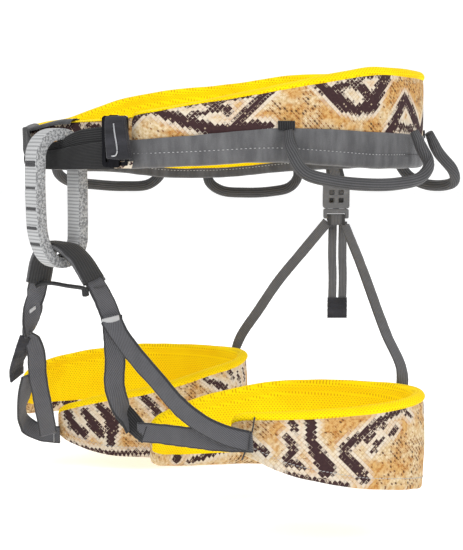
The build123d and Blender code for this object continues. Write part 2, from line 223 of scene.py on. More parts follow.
def curve_through(points, count):
    """A smooth line through points (centripetal Catmull-Rom), evenly resampled."""
    p = [np.array(q, float) for q in points]
    p = [2 * p[0] - p[1]] + p + [2 * p[-1] - p[-2]]
    fine = []
    for a, b, c, d in zip(p, p[1:], p[2:], p[3:]):
        t0 = 0.0
        t1 = t0 + np.linalg.norm(b - a) ** 0.5
        t2 = t1 + np.linalg.norm(c - b) ** 0.5
        t3 = t2 + np.linalg.norm(d - c) ** 0.5
        for t in np.linspace(t1, t2, 16, endpoint=False):
            a1 = (t1 - t) / (t1 - t0) * a + (t - t0) / (t1 - t0) * b
            a2 = (t2 - t) / (t2 - t1) * b + (t - t1) / (t2 - t1) * c
            a3 = (t3 - t) / (t3 - t2) * c + (t - t2) / (t3 - t2) * d
            b1 = (t2 - t) / (t2 - t0) * a1 + (t - t0) / (t2 - t0) * a2
            b2 = (t3 - t) / (t3 - t1) * a2 + (t - t1) / (t3 - t1) * a3
            fine.append((t2 - t) / (t2 - t1) * b1 + (t - t1) / (t2 - t1) * b2)
    fine.append(p[-2])
    fine = np.array(fine)
    steps = np.concatenate([[0], np.cumsum(np.linalg.norm(np.diff(fine, axis=0), axis=1))])
    wanted = np.linspace(0, steps[-1], count)
    return np.stack([np.interp(wanted, steps, fine[:, k]) for k in range(3)], axis=1)


def key_lengths(points, keys):
    """How far along a line, from 0 to 1, each key point lies."""
    keys = np.array(keys, float)
    steps = np.concatenate([[0], np.cumsum(np.linalg.norm(np.diff(points, axis=0), axis=1))])
    nearest = [int(np.argmin(np.linalg.norm(points - key, axis=1))) for key in keys]
    return steps[nearest] / steps[-1]


def path_frames(points, across):
    """Frames along a line: x is the webbing's width, y its thickness."""
    frames = []
    for i, point in enumerate(points):
        tangent = unit(points[min(i + 1, len(points) - 1)] - points[max(i - 1, 0)])
        side = across[i] - tangent * float(np.dot(across[i], tangent))
        side = unit(side)
        frames.append((point, side, np.cross(tangent, side)))
    return frames


def flat_section(width, thickness, bow=0.0):
    """Points of webbing's section: flat faces, rounded edges."""
    half, t = width / 2, thickness / 2
    top = [(x * half, t) for x in (0.93, 0.6, 0.2, -0.2, -0.6, -0.93)]
    left = [(-half + 0.1 * t, t * 0.7), (-half, 0.0), (-half + 0.1 * t, -t * 0.7)]
    points = top + left + [(-x, -y) for x, y in top] + [(-x, -y) for x, y in left]
    return [(x, y * (1 + bow * (1 - (x / half) ** 2)), x, 0) for x, y in points]


def webbing(name, path, across, width, thickness, material, count=60, ripple=0.25, seed=1.0,
            bow=0.0):
    """Flat webbing along a path, with slightly uneven edges. across: one direction per key."""
    points = curve_through(path, count)
    share = key_lengths(points, path)
    turns = np.array([unit(a) for a in across])
    places = np.linspace(0, 1, count)
    sides = np.stack([np.interp(places, share, turns[:, k]) for k in range(3)], axis=1)
    frames = path_frames(points, sides)
    section = flat_section(width, thickness, bow)

    def profile(i):
        wave = ripple * noise.noise(Vector((i * 0.35, seed * 3.1, 0.0)))
        grow = 1 + wave * 0.12
        return [(x * grow, y + wave * 0.5, c, m) for x, y, c, m in section]

    return sweep(name, frames, profile, [material])


def cord(name, path, radius, material, count=90, sides=14, taper=0.0):
    points = curve_through(path, count)
    frames = path_frames(points, np.tile(np.array([0.02, 0.03, 1.0]), (count, 1)))

    def profile(i):
        end = min(i, count - 1 - i) / (count * 0.08)
        r = radius * (1 - taper * max(0.0, 1 - end))
        ring = []
        for k in range(sides):
            a = 2 * math.pi * k / sides
            ring.append((r * math.cos(a), r * 0.92 * math.sin(a), radius * a, 0))
        return ring

    return sweep(name, frames, profile, [material])


def stitches(name, places, material, length=2.0, radius=0.28):
    """Short thread stitches: a place and a direction each, as small pointed rods."""
    verts, faces = [], []
    for place, direction in places:
        along = unit(direction)
        side = unit(np.cross(along, (0.31, 0.17, 0.94)))
        up = np.cross(along, side)
        base = len(verts)
        for shift, r in ((-0.5, 0.35), (-0.3, 1.0), (0.3, 1.0), (0.5, 0.35)):
            for k in range(6):
                a = math.pi * k / 3
                ring = side * math.cos(a) + up * math.sin(a)
                verts.append((place + along * shift * length + ring * r * radius) * MM)
        for row in range(3):
            for k in range(6):
                m = (k + 1) % 6
                a, b = base + row * 6, base + row * 6 + 6
                faces.append((a + k, a + m, b + m, b + k))
    return make_object(name, verts, faces, [0] * len(faces), [material])


# ------------------------------------------------------------------ materials
class Shader:
    """A material's node tree, written as short formulas."""

    def __init__(self, name, roughness=0.8, sheen=0.0, metallic=0.0, specular=0.3):
        self.material = bpy.data.materials.new(name)
        self.material.use_nodes = True
        self.tree = self.material.node_tree
        self.surface = self.tree.nodes["Principled BSDF"]
        self.surface.inputs["Roughness"].default_value = roughness
        self.surface.inputs["Metallic"].default_value = metallic
        self.surface.inputs["Specular IOR Level"].default_value = specular
        self.surface.inputs["Sheen Weight"].default_value = sheen
        self.surface.inputs["Sheen Roughness"].default_value = 0.4

    def node(self, kind, output=0, settings=None, **inputs):
        node = self.tree.nodes.new(kind)
        for key, value in (settings or {}).items():
            setattr(node, key, value)
        for key, value in inputs.items():
            slot = node.inputs[int(key[1:])] if key[0] == "i" and key[1:].isdigit() else None
            slot = slot if slot is not None else node.inputs[key.replace("_", " ")]
            if isinstance(value, bpy.types.NodeSocket):
                self.tree.links.new(value, slot)
            else:
                slot.default_value = value
        return node.outputs[output]

    def math(self, operation, a, b=0.0, c=0.0):
        return self.node("ShaderNodeMath", 0, {"operation": operation}, i0=a, i1=b, i2=c)

    def add(self, a, b):
        return self.math("ADD", a, b)

    def sub(self, a, b):
        return self.math("SUBTRACT", a, b)

    def mul(self, a, b):
        return self.math("MULTIPLY", a, b)

    def step(self, value, low, high, out_low=0.0, out_high=1.0):
        """Smooth change from out_low to out_high as value goes from low to high."""
        settings = {"interpolation_type": "SMOOTHSTEP"}
        return self.node(
            "ShaderNodeMapRange", 0, settings,
            i0=value, i1=low, i2=high, i3=out_low, i4=out_high,
        )

    def cloth(self):
        """The vertex's place on its cloth: mm along, mm across."""
        vector = self.node("ShaderNodeAttribute", 1, {"attribute_name": "cloth"})
        parts = self.node("ShaderNodeSeparateXYZ", 0, i0=vector).node
        return vector, parts.outputs[0], parts.outputs[1]

    def place(self):
        return self.node("ShaderNodeTexCoord", 3)

    def noise(self, vector, scale, detail=3.0, roughness=0.55):
        return self.node(
            "ShaderNodeTexNoise", 0, None,
            Vector=vector, Scale=scale, Detail=detail, Roughness=roughness,
        )

    def mix(self, share, a, b):
        node = self.tree.nodes.new("ShaderNodeMix")
        node.data_type = "RGBA"
        for number, value in ((0, share), (6, a), (7, b)):
            if isinstance(value, bpy.types.NodeSocket):
                self.tree.links.new(value, node.inputs[number])
            else:
                node.inputs[number].default_value = value
        return node.outputs[2]

    def color(self, value):
        self.link(value, "Base Color")

    def link(self, value, name):
        if isinstance(value, bpy.types.NodeSocket):
            self.tree.links.new(value, self.surface.inputs[name])
        else:
            self.surface.inputs[name].default_value = value

    def bump(self, height, distance_mm, strength=1.0):
        """Relief from a height of 0 to 1, distance_mm deep."""
        value = self.node(
            "ShaderNodeBump", 0, None,
            Strength=strength, Distance=distance_mm * MM, Height=height,
        )
        self.link(value, "Normal")


def srgb(r, g, b):
    """A colour given as 0 to 255 in sRGB, as linear RGBA."""
    values = []
    for v in (r, g, b):
        v = v / 255
        values.append(v / 12.92 if v <= 0.04045 else ((v + 0.055) / 1.055) ** 2.4)
    return (*values, 1.0)


def yellow_mesh_material():
    """Spacer mesh: rows of small round holes, set half a step over in every other row."""
    s = Shader("yellow_mesh", roughness=0.8, sheen=0.1, specular=0.12)
    vector, u, v = s.cloth()
    pitch_u, pitch_v = 2.6, 1.7
    row = s.math("FLOOR", s.mul(v, 1 / pitch_v))
    shift = s.mul(s.math("FLOORED_MODULO", row, 2.0), 0.5)
    column = s.add(s.mul(u, 1 / pitch_u), shift)
    du = s.mul(s.sub(s.math("FRACT", column), 0.5), pitch_u)
    dv = s.mul(s.sub(s.math("FRACT", s.mul(v, 1 / pitch_v)), 0.5), pitch_v)
    distance = s.math("SQRT", s.add(s.mul(du, du), s.mul(dv, dv)))
    hole = s.step(distance, 0.35, 0.62, 1.0, 0.0)
    wide = s.noise(s.place(), 28.0, 2.0)
    tone = s.mix(s.step(wide, 0.35, 0.7), srgb(255, 222, 0), srgb(250, 210, 0))
    # each hole is painted a deeper, darker orange yellow: painted shade inside the holes
    s.color(s.mix(s.mul(hole, 0.62), tone, srgb(190, 128, 0)))
    s.bump(s.sub(1.0, hole), 0.5, 0.7)
    s.surface.inputs["Sheen Tint"].default_value = srgb(255, 240, 140)
    return s.material


def print_material():
    """Snake print. The attribute "print" holds each point's distance to the dark bands."""
    s = Shader("snake_print", roughness=0.8, sheen=0.03, specular=0.15)
    vector, u, v = s.cloth()
    field = s.node("ShaderNodeAttribute", 1, {"attribute_name": "print"})
    parts = s.node("ShaderNodeSeparateXYZ", 0, i0=field).node
    away, slope_u, slope_v = parts.outputs
    # diamond scales: the cloth seen on axes turned by 45 degrees
    cell = 2.5
    p = s.mul(s.add(u, v), 0.7071 / cell)
    q = s.mul(s.sub(v, u), 0.7071 / cell)
    dp = s.sub(s.math("FRACT", p), 0.5)
    dq = s.sub(s.math("FRACT", q), 0.5)
    du = s.mul(s.sub(dp, dq), 0.7071 * cell)
    dv = s.mul(s.add(dp, dq), 0.7071 * cell)
    at_scale = s.sub(away, s.add(s.mul(slope_u, du), s.mul(slope_v, dv)))
    scale_id = s.node("ShaderNodeCombineXYZ", 0, None,
                      X=s.math("FLOOR", p), Y=s.math("FLOOR", q), Z=0.0)
    chance = s.node("ShaderNodeTexWhiteNoise", 0, {"noise_dimensions": "3D"}, Vector=scale_id)
    other = s.node("ShaderNodeTexWhiteNoise", 0, {"noise_dimensions": "3D"},
                   Vector=s.node("ShaderNodeVectorMath", 0, {"operation": "ADD"},
                                 i0=scale_id, i1=(31.7, 12.9, 4.0)))
    jitter = s.mul(s.sub(chance, 0.5), 1.7)
    # each dark scale is a rounded diamond, so the band's edge is stepped
    corner = s.math("MAXIMUM", s.math("ABSOLUTE", dp), s.math("ABSOLUTE", dq))
    round_off = s.step(corner, 0.38, 0.5, 0.0, 1.3)
    waver = s.mul(s.sub(s.noise(vector, 0.9, 2.0), 0.5), 1.6)
    edge = s.add(s.add(at_scale, jitter), s.add(round_off, waver))
    band = s.step(edge, -0.35, 0.35, 1.0, 0.0)
    # ground: cream, tan and orange clouds, paler beside the bands
    cloud = s.noise(vector, 0.045, 4.0, 0.6)
    fine = s.noise(vector, 0.35, 3.0, 0.6)
    cream = s.mix(s.step(fine, 0.35, 0.65), srgb(224, 206, 172), srgb(198, 168, 120))
    warm = s.mix(s.step(fine, 0.4, 0.68), srgb(208, 168, 106), srgb(176, 116, 54))
    ground = s.mix(s.step(cloud, 0.42, 0.58), cream, warm)
    halo = s.step(at_scale, 0.6, 5.0, 0.8, 0.0)
    ground = s.mix(halo, ground, srgb(218, 210, 196))
    # speckles: single dark or tan scales, thicker in some places
    patch = s.step(s.noise(vector, 0.04, 2.0), 0.40, 0.56)
    far = s.step(at_scale, 3.0, 6.5)
    limit = s.sub(1.0, s.mul(s.add(0.14, s.mul(patch, 0.5)), far))
    speck = s.step(s.sub(other, limit), 0.0, 0.02)
    slant = s.add(s.math("ABSOLUTE", dp), s.mul(s.math("ABSOLUTE", dq), 0.55))
    dot = s.step(s.add(slant, s.mul(chance, 0.14)), 0.3, 0.46, 1.0, 0.0)
    speck_tone = s.mix(chance, srgb(74, 46, 34), srgb(158, 100, 52))
    ground = s.mix(s.mul(s.mul(speck, dot), 0.9), ground, speck_tone)
    # scale outlines
    outline = s.mul(s.step(corner, 0.36, 0.5), s.add(0.12, s.mul(patch, 0.36)))
    ground = s.mix(outline, ground, srgb(146, 102, 58))
    dark = s.mix(s.noise(vector, 0.5, 2.0), srgb(46, 30, 34), srgb(72, 50, 50))
    fleck = s.mul(s.step(other, 0.9, 0.92), s.step(corner, 0.15, 0.3, 1.0, 0.0))
    dark = s.mix(s.mul(fleck, 0.8), dark, srgb(196, 176, 150))
    s.color(s.mix(band, ground, dark))
    weave = s.mul(s.math("SINE", s.mul(u, 9.0)), s.math("SINE", s.mul(v, 9.0)))
    s.bump(s.add(s.mul(weave, 0.3), s.noise(vector, 0.12, 3.0)), 0.35, 0.5)
    return s.material


def woven_material(name, light, dark, rib_mm, rib_way, edge_mm=99.0, sheen=0.15, depth=0.25,
                   twill=0.0, roughness=0.8, fuzz=0.25):
    """Webbing: ribs along ("u") or across ("v") its length, and a darker selvedge."""
    s = Shader(name, roughness=roughness, sheen=sheen)
    vector, u, v = s.cloth()
    rib_at = s.add(u, s.mul(v, twill)) if rib_way == "v" else s.add(v, s.mul(u, twill))
    rib = s.math("SINE", s.mul(rib_at, 2 * math.pi / rib_mm))
    thread_at = v if rib_way == "v" else u
    thread = s.math("SINE", s.mul(thread_at, 2 * math.pi / (rib_mm * 0.62)))
    weave = s.add(s.mul(s.add(rib, 1.0), 0.4), s.mul(s.add(thread, 1.0), 0.1))
    cloudy = s.noise(s.place(), 60.0, 4.0)
    hair = s.noise(vector, 1.4, 3.0, 0.7)
    share = s.add(s.mul(s.sub(weave, 0.5), 0.7), s.add(s.mul(cloudy, 0.5), s.mul(hair, fuzz)))
    # the grooves between ribs are painted dark and the rib tops light: painted shade and painted highlight on the
    # weave, mixed with random tone from cloudy and hair
    tone = s.mix(s.step(share, 0.0, 0.95), dark, light)
    selvedge = s.step(s.math("ABSOLUTE", v), edge_mm - 0.5, edge_mm + 0.3)
    tone = s.mix(s.mul(selvedge, 0.75), tone, tuple(c * 0.35 for c in dark[:3]) + (1.0,))
    s.color(tone)
    s.bump(s.add(weave, s.mul(hair, 0.5)), depth, 0.8)
    return s.material


def belay_material():
    """Light webbing with cross ribs on its face, and mottled edges of stacked layers."""
    s = Shader("belay_webbing", roughness=0.8, sheen=0.2)
    vector, u, v = s.cloth()
    rib = s.mul(s.add(s.math("SINE", s.mul(u, 2 * math.pi / 2.5)), 1.0), 0.5)
    thread = s.mul(s.add(s.math("SINE", s.mul(v, 2 * math.pi / 1.1)), 1.0), 0.5)
    hair = s.noise(vector, 0.9, 4.0, 0.7)
    # the grooves between the cross ribs are painted darker and the rib tops lighter: painted shade and painted
    # highlight, with some random tone from hair
    face = s.mix(s.step(s.add(rib, s.mul(hair, 0.7)), 0.1, 1.15),
                 srgb(132, 133, 134), srgb(186, 187, 188))
    grain = s.noise(s.place(), 620.0, 3.0, 0.7)
    edge = s.mix(s.step(grain, 0.40, 0.60), srgb(112, 113, 115), srgb(176, 177, 178))
    on_edge = s.step(s.math("ABSOLUTE", v), 7.2, 7.7)
    s.color(s.mix(on_edge, face, edge))
    s.bump(s.add(s.mul(rib, 0.7), s.add(s.mul(thread, 0.25), s.mul(grain, 0.4))), 0.3, 0.8)
    return s.material


def plain_fabric(name, light, dark, sheen=0.2, roughness=0.7):
    """Smooth woven fabric with faint creases."""
    s = Shader(name, roughness=roughness, sheen=sheen)
    vector, u, v = s.cloth()
    crease = s.noise(s.node("ShaderNodeVectorMath", 0, {"operation": "MULTIPLY"},
                            i0=vector, i1=(0.12, 0.03, 1.0)), 1.0, 4.0)
    weave = s.mul(s.math("SINE", s.mul(u, 8.0)), s.math("SINE", s.mul(v, 8.0)))
    fine = s.noise(vector, 1.2, 3.0)
    # the crease valleys are painted darker and their ridges lighter: painted shade and painted sheen on the
    # creases, with random tone from fine
    s.color(s.mix(s.step(s.add(crease, s.mul(fine, 0.3)), 0.4, 0.95), dark, light))
    s.bump(s.add(s.mul(weave, 0.15), crease), 0.6, 0.6)
    return s.material


def plastic_material(name, tone, roughness=0.42):
    """Moulded plastic with a fine texture, and paler worn places."""
    s = Shader(name, roughness=roughness, specular=0.5)
    place = s.place()
    wear = s.noise(place, 160.0, 4.0)
    s.color(s.mix(s.step(wear, 0.5, 0.8), srgb(*tone), srgb(*(t + 22 for t in tone))))
    grain = s.noise(place, 1800.0, 2.0)
    s.link(s.step(wear, 0.3, 0.8, roughness - 0.08, roughness + 0.14), "Roughness")
    s.bump(grain, 0.06, 0.5)
    return s.material


def metal_material(name, dark, light):
    """Satin metal with fine brushing along the bar."""
    s = Shader(name, roughness=0.3, metallic=1.0, specular=0.5)
    place = s.place()
    stretched = s.node("ShaderNodeVectorMath", 0, {"operation": "MULTIPLY"},
                       i0=place, i1=(1.0, 1.0, 0.05))
    brushing = s.noise(stretched, 2600.0, 3.0)
    s.color(s.mix(brushing, dark, light))
    s.link(s.step(brushing, 0.2, 0.8, 0.22, 0.42), "Roughness")
    s.bump(brushing, 0.03, 0.5)
    return s.material


YELLOW = yellow_mesh_material()
PRINT = print_material()
GREY_BAND = plain_fabric("grey_band", srgb(108, 108, 110), srgb(78, 78, 80))
GREY_BINDING = plain_fabric("grey_binding", srgb(84, 84, 86), srgb(58, 58, 60))
BLACK_WEBBING = woven_material(
    "black_webbing", srgb(58, 58, 59), srgb(22, 22, 23), 1.7, "u", sheen=0.12, depth=0.5
)
BLACK_FABRIC = plain_fabric("black_fabric", srgb(52, 52, 58), srgb(26, 26, 30))
SLEEVE_FABRIC = woven_material(
    "sleeve_fabric", srgb(52, 52, 53), srgb(22, 22, 23), 2.1, "u", sheen=0.1, depth=0.3, fuzz=0.8
)
LEG_WEBBING = woven_material(
    "leg_webbing", srgb(94, 94, 98), srgb(50, 50, 52), 1.5, "u", edge_mm=6.3, twill=0.5,
    depth=0.3, fuzz=0.75,
)
RISER_WEBBING = woven_material(
    "riser_webbing", srgb(112, 112, 114), srgb(74, 74, 76), 1.3, "u", edge_mm=4.6, depth=0.25
)
CORD_SLEEVE = woven_material(
    "cord_sleeve", srgb(92, 92, 94), srgb(54, 54, 56), 1.9, "u", sheen=0.05, depth=0.5,
    roughness=0.6,
)
BELAY = belay_material()
LIGHT_THREAD = plain_fabric("light_thread", srgb(206, 206, 206), srgb(160, 160, 160))
DARK_THREAD = plain_fabric("dark_thread", srgb(84, 84, 86), srgb(52, 52, 54))
GREY_PLASTIC = plastic_material("grey_plastic", (92, 93, 96))
METAL = metal_material("buckle_wire", srgb(150, 152, 156), srgb(214, 215, 218))
DARK_METAL = metal_material("buckle_black", srgb(20, 20, 22), srgb(46, 46, 50))


# ------------------------------------------------------------------ print bands
# Dark strokes of the snake print: lists of (mm along the pad, height, half width)
def stroke_field(u, z, strokes):
    """Distance in mm from each point of cloth to the nearest dark stroke, and its slope."""
    best = np.full(len(u), 60.0)
    slope_u, slope_v = np.zeros(len(u)), np.zeros(len(u))
    for stroke in strokes:
        for (ua, za, ra), (ub, zb, rb) in zip(stroke, stroke[1:]):
            du, dz = ub - ua, zb - za
            t = np.clip(((u - ua) * du + (z - za) * dz) / (du * du + dz * dz + 1e-9), 0, 1)
            away_u, away_z = u - ua - t * du, z - za - t * dz
            length = np.sqrt(away_u ** 2 + away_z ** 2) + 1e-9
            distance = length - (ra + t * (rb - ra))
            nearer = distance < best
            best = np.where(nearer, distance, best)
            slope_u = np.where(nearer, away_u / length, slope_u)
            slope_v = np.where(nearer, away_z / length, slope_v)
    return best, slope_u, slope_v


def paint(obj, strokes):
    mesh = obj.data
    n = len(mesh.vertices)
    cloth = np.zeros(n * 3, np.float32)
    mesh.attributes["cloth"].data.foreach_get("vector", cloth)
    cloth = cloth.reshape(-1, 3)
    best, slope_u, slope_v = stroke_field(cloth[:, 0], cloth[:, 1], strokes)
    field = mesh.attributes.new("print", "FLOAT_VECTOR", "POINT")
    packed = np.stack([best, slope_u, slope_v], axis=1).astype(np.float32)
    field.data.foreach_set("vector", packed.ravel())


def repeated(strokes, shift, times, mirror_at=None):
    """The strokes again further along the cloth, every other copy mirrored."""
    copies = []
    for k in range(times):
        for stroke in strokes:
            if k % 2 and mirror_at is not None:
                copy = [(2 * mirror_at - u + k * shift, z, r) for u, z, r in stroke]
            else:
                copy = [(u + k * shift, z, r) for u, z, r in stroke]
            copies.append(copy)
    return copies


def arc_lengths(oval, start, end, dip, step):
    count = int(abs(end - start) / step) + 1
    angles = np.linspace(start, end, count)
    points = [oval_point(oval, a, dip(a))[0] for a in angles]
    steps = [0.0] + [float(np.linalg.norm(q - p)) for p, q in zip(points, points[1:])]
    return angles, np.cumsum(steps)


def no_dip(angle):
    return 0.0


# ------------------------------------------------------------------ padded strips
RIM = 6.8                 # how far the mesh lining rolls down over the outer face
# the belt's roll: angle, how far down the outer face it reaches
WAIST_RIMS = [
    (-114, 2.0), (-95, 3.0), (-75, 4.4), (-55, 6.4), (-30, 7.0), (150, 7.0), (175, 4.0),
    (195, 1.6), (225, 1.6), (250, 2.2),
]
LEG_RIMS = [(-125, 5.0), (-90, 6.4), (180, 6.4)]
HEM = 9.0                 # printed hem, wrapped under to the inside


def face_out(share):
    """How far the outer face crowns out at a share of its height."""
    return 0.9 * math.sin(math.pi * min(max(share, 0.0), 1.0)) ** 0.8


def pad(name, oval, edges, rims, start, end, dip=no_dip, step=1.8, hem=HEM, round_mm=7.0,
        end_height=0.93):
    angles, lengths = arc_lengths(oval, start, end, dip, step)
    frames = []
    for angle in angles:
        origin, normal = oval_point(oval, angle, dip(angle))
        frames.append((origin, normal, np.array([0.0, 0.0, 1.0])))

    def profile(i):
        low = smooth_value(edges, angles[i], 1)
        high = smooth_value(edges, angles[i], 2)
        from_end = min(lengths[i], lengths[-1] - lengths[i])
        round_end = math.sqrt(max(0.0, 1 - (1 - min(from_end / round_mm, 1.0)) ** 2))
        round_end = max(round_end, 0.22)
        points = []
        rim = smooth_value(rims, angles[i], 1)
        face_top = high - rim
        roll = min(1.0, rim / RIM)
        for k in range(10):
            t = k / 9
            points.append((face_out(t) - 0.3, low + 2.4 + t * (face_top - low - 2.4), 0))
        points.append((-0.9, face_top + 0.7 * roll, 1))
        for k in range(9):
            a = math.radians(-12 + 204 * k / 8)
            drop = 3.7 * (roll if k < 4 else 1.0)
            points.append((
                -PAD / 2 + (PAD / 2 + 1.0 * roll) * math.cos(a),
                high - drop + (drop + 0.5) * math.sin(a),
                1,
            ))
        points.append((-PAD + 0.7, high - RIM - 1.5, 1))
        for k in range(7):
            t = k / 6
            z = high - RIM - 3.5 - t * (high - RIM - 3.5 - low - hem)
            points.append((-PAD - 0.7 * math.sin(math.pi * t), z, 1 if k < 6 else 2))
        points.append((-PAD + 0.6, low + hem - 1.0, 2))
        points.append((-PAD - 0.3, low + hem * 0.5, 2))
        points.append((-PAD + 1.4, low + 0.7, 2))
        points.append((-PAD / 2, low - 0.5, 2))
        points.append((-1.0, low + 0.7, 2))
        middle = (low + high) / 2
        shaped = []
        for x, z, m in points:
            x_end = -PAD / 2 + (x + PAD / 2) * round_end
            z_end = middle + (z - middle) * (end_height + (1 - end_height) * round_end)
            shaped.append((x_end, z_end, z - 0.9 * x, m))
        return shaped

    return sweep(name, frames, profile, [PRINT, YELLOW, PRINT])


def puff(obj, cap_mm, pressure=4.0, last_frame=20):
    """Blows a pad up like a sewn cushion. Its hem is held."""
    mesh = obj.data
    n = len(mesh.vertices)
    before = np.zeros(n * 3)
    mesh.vertices.foreach_get("co", before)
    before = before.reshape(-1, 3)
    held = obj.vertex_groups.new(name="held")
    soft = np.zeros(n, bool)
    for polygon in mesh.polygons:
        if polygon.material_index < 2:
            soft[list(polygon.vertices)] = True
    for vertex in mesh.vertices:
        held.add([vertex.index], 0.0 if soft[vertex.index] else 1.0, "REPLACE")
    cloth = obj.modifiers.new("puff", "CLOTH")
    cloth.settings.use_pressure = True
    cloth.settings.uniform_pressure_force = pressure
    cloth.settings.effector_weights.gravity = 0.0
    cloth.settings.vertex_group_mass = "held"
    cloth.settings.tension_stiffness = 40
    cloth.settings.compression_stiffness = 40
    cloth.settings.bending_stiffness = 2
    cloth.collision_settings.use_collision = False
    cloth.point_cache.frame_start = 1
    cloth.point_cache.frame_end = last_frame
    for number in range(1, last_frame + 1):
        bpy.context.scene.frame_set(number)
    depsgraph = bpy.context.evaluated_depsgraph_get()
    after = np.zeros(n * 3)
    obj.evaluated_get(depsgraph).data.vertices.foreach_get("co", after)
    move = after.reshape(-1, 3) - before
    length = np.linalg.norm(move, axis=1, keepdims=True)
    move = move * np.minimum(1.0, cap_mm * MM / np.maximum(length, 1e-9))
    obj.modifiers.clear()
    bpy.context.scene.frame_set(1)
    mesh.vertices.foreach_set("co", (before + move).ravel())
    mesh.update()


def deg_to_mm(oval, start, dip=no_dip):
    """A function from an angle to mm along the pad that starts there."""
    def length(angle):
        return arc_lengths(oval, start, max(angle, start + 0.01), dip, 1.0)[1][-1]
    return length


# The belt
belt_mm = deg_to_mm(WAIST, -114, waist_dip)
b = belt_mm
BELT_STROKES = [
    [(b(-118), 14, 5), (b(-112), 20, 4), (b(-108), 23, 4)],
    [(b(-108), 22, 4), (b(-100), 13, 4.5), (b(-91), 5, 5)],
    [(b(-91), 5, 5), (b(-82), 8, 4.5), (b(-77), 9, 3)],
    [(b(-86), 10, 3), (b(-82), 22, 3.4), (b(-77), 37, 4)],
    [(b(-100), 26, 3), (b(-93), 29, 3.6), (b(-85), 32, 3), (b(-77), 37, 3)],
    [(b(-93), 28, 3.2), (b(-88), 19, 2.8)],
    [(b(-97), 17, 2), (b(-88), 22, 2)],
    [(b(-67), 46, 3.5), (b(-62), 36, 4.4), (b(-56), 25, 6)],
    [(b(-56), 25, 6), (b(-51), 20, 3.6), (b(-46), 24, 6)],
    [(b(-46), 24, 6), (b(-43), 36, 5.0), (b(-38), 54, 5.4)],
    [(b(-58), 38, 3.6), (b(-53), 41, 2.8), (b(-49), 36, 4), (b(-46), 27, 4)],
    [(b(-60), 47, 3.6), (b(-52), 46, 3.0), (b(-44), 50, 4.6), (b(-33), 54, 4)],
    [(b(-38), 4, 5.0), (b(-34), 18, 5.0), (b(-30), 31, 3.6)],
    [(b(-30), 31, 3.6), (b(-24), 18, 5.0), (b(-16), 3, 5.0)],
    [(b(-33), 8, 3), (b(-24), 7, 3)],
]
more_belt = repeated(BELT_STROKES, 0.0, 2, mirror_at=b(-16))[len(BELT_STROKES):]
BELT_ALL = BELT_STROKES + more_belt
BELT_ALL += [[(u + 2 * b(-16), z, r) for u, z, r in s] for s in BELT_ALL]
BELT_ALL += [
    [(b(183), -6, 3), (b(190), 6, 3), (b(197), 10, 3)],
    [(b(203), 12, 3), (b(212), 2, 3), (b(220), -10, 3)],
    [(b(226), 10, 3), (b(236), 6, 2)],
    [(b(238), -14, 3), (b(246), -8, 3)],
]
waist_pad = pad("waist_pad", WAIST, WAIST_EDGES, WAIST_RIMS, -114, 250, waist_dip, hem=5.5)
puff(waist_pad, 1.6)
waist_pad = subdivide(waist_pad)
roughen(waist_pad, 22, 0.5, 1.0)
paint(waist_pad, BELT_ALL)
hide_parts("waist_shell", "waist_foam", "waist_lining")
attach(waist_pad, "waist_belt")


def belt_sheet(name, start, end, section, materials, step=1.8):
    """An open sheet lying on the belt. section(angle): (outward, height, across, material)."""
    count = int(abs(end - start) / step) + 1
    angles = np.linspace(start, end, count)
    frames = []
    for angle in angles:
        origin, normal = oval_point(WAIST, angle, waist_dip(angle))
        frames.append((origin, normal, np.array([0.0, 0.0, 1.0])))
    obj = sweep(name, frames, lambda i: section(angles[i]), materials, closed_profile=False)
    return subdivide(obj)


STITCH_ROW = 9.5          # height of the band's seam over the belt's lower edge


def band_section(angle):
    low = smooth_value(WAIST_EDGES, angle, 1)
    high = smooth_value(WAIST_EDGES, angle, 2)
    top = value_at(BAND_HEIGHT, angle)
    height = high - low - RIM
    points = []
    for z, lift in ((top, 0.1), (top - 0.4, 1.0), (top * 0.75, 1.25), (STITCH_ROW + 2, 1.2),
                    (STITCH_ROW + 0.7, 0.6), (STITCH_ROW - 0.3, 0.5), (STITCH_ROW - 1.4, 1.3),
                    (4.5, 1.6), (1.6, 1.4), (0.2, 0.6), (-0.6, -0.8), (-0.9, -PAD / 2)):
        points.append((face_out(z / height) - 0.3 + lift, low + z, z, 0))
    return points


def binding_section(angle):
    low = smooth_value(WAIST_EDGES, angle, 1)
    points = []
    for z, out in ((-1.7, -PAD / 2 + 0.3), (-1.0, -PAD), (1.2, -PAD - 1.3), (3.6, -PAD - 1.6),
                   (4.8, -PAD - 1.0), (5.6, -PAD - 1.4), (6.6, -PAD - 1.3), (7.0, -PAD + 0.2)):
        points.append((out, low + z, z, 0))
    return points


waist_band = belt_sheet("waist_band_cover", -114.6, 180, band_section, [GREY_BAND])
roughen(waist_band, 14, 0.55, 4.0)
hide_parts("waist_band")
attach(waist_band, "waist_belt")

waist_binding = belt_sheet("waist_binding_cover", 38, 180, binding_section, [GREY_BINDING])
roughen(waist_binding, 12, 0.4, 5.0)
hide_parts("waist_binding")
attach(waist_binding, "waist_belt")


def front_binding_section(angle):
    """Dark binding over the top edge of the belt's front strip."""
    high = smooth_value(WAIST_EDGES, angle, 2)
    points = []
    for k in range(11):
        a = math.radians(-8 + 196 * k / 10)
        x = -PAD / 2 + (PAD / 2 + 1.5) * math.cos(a)
        points.append((x, high - 2.4 + 3.8 * math.sin(a), k * 1.6, 0))
    return points


front_binding = belt_sheet("front_binding", 168, 219, front_binding_section, [GREY_BINDING])
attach(front_binding, "waist_belt")


def belt_row(start, end, spacing, height, out):
    """Evenly spaced places on the belt's face, with the direction along it."""
    places = []
    angles, lengths = arc_lengths(WAIST, start, end, waist_dip, 0.5)
    for length in np.arange(1.0, lengths[-1], spacing):
        angle = float(np.interp(length, lengths, angles))
        low = smooth_value(WAIST_EDGES, angle, 1)
        origin, normal = oval_point(WAIST, angle, waist_dip(angle) + out)
        along = np.array([-normal[1], normal[0], 0.0])
        places.append((origin + np.array([0, 0, low + height]), along))
    return places


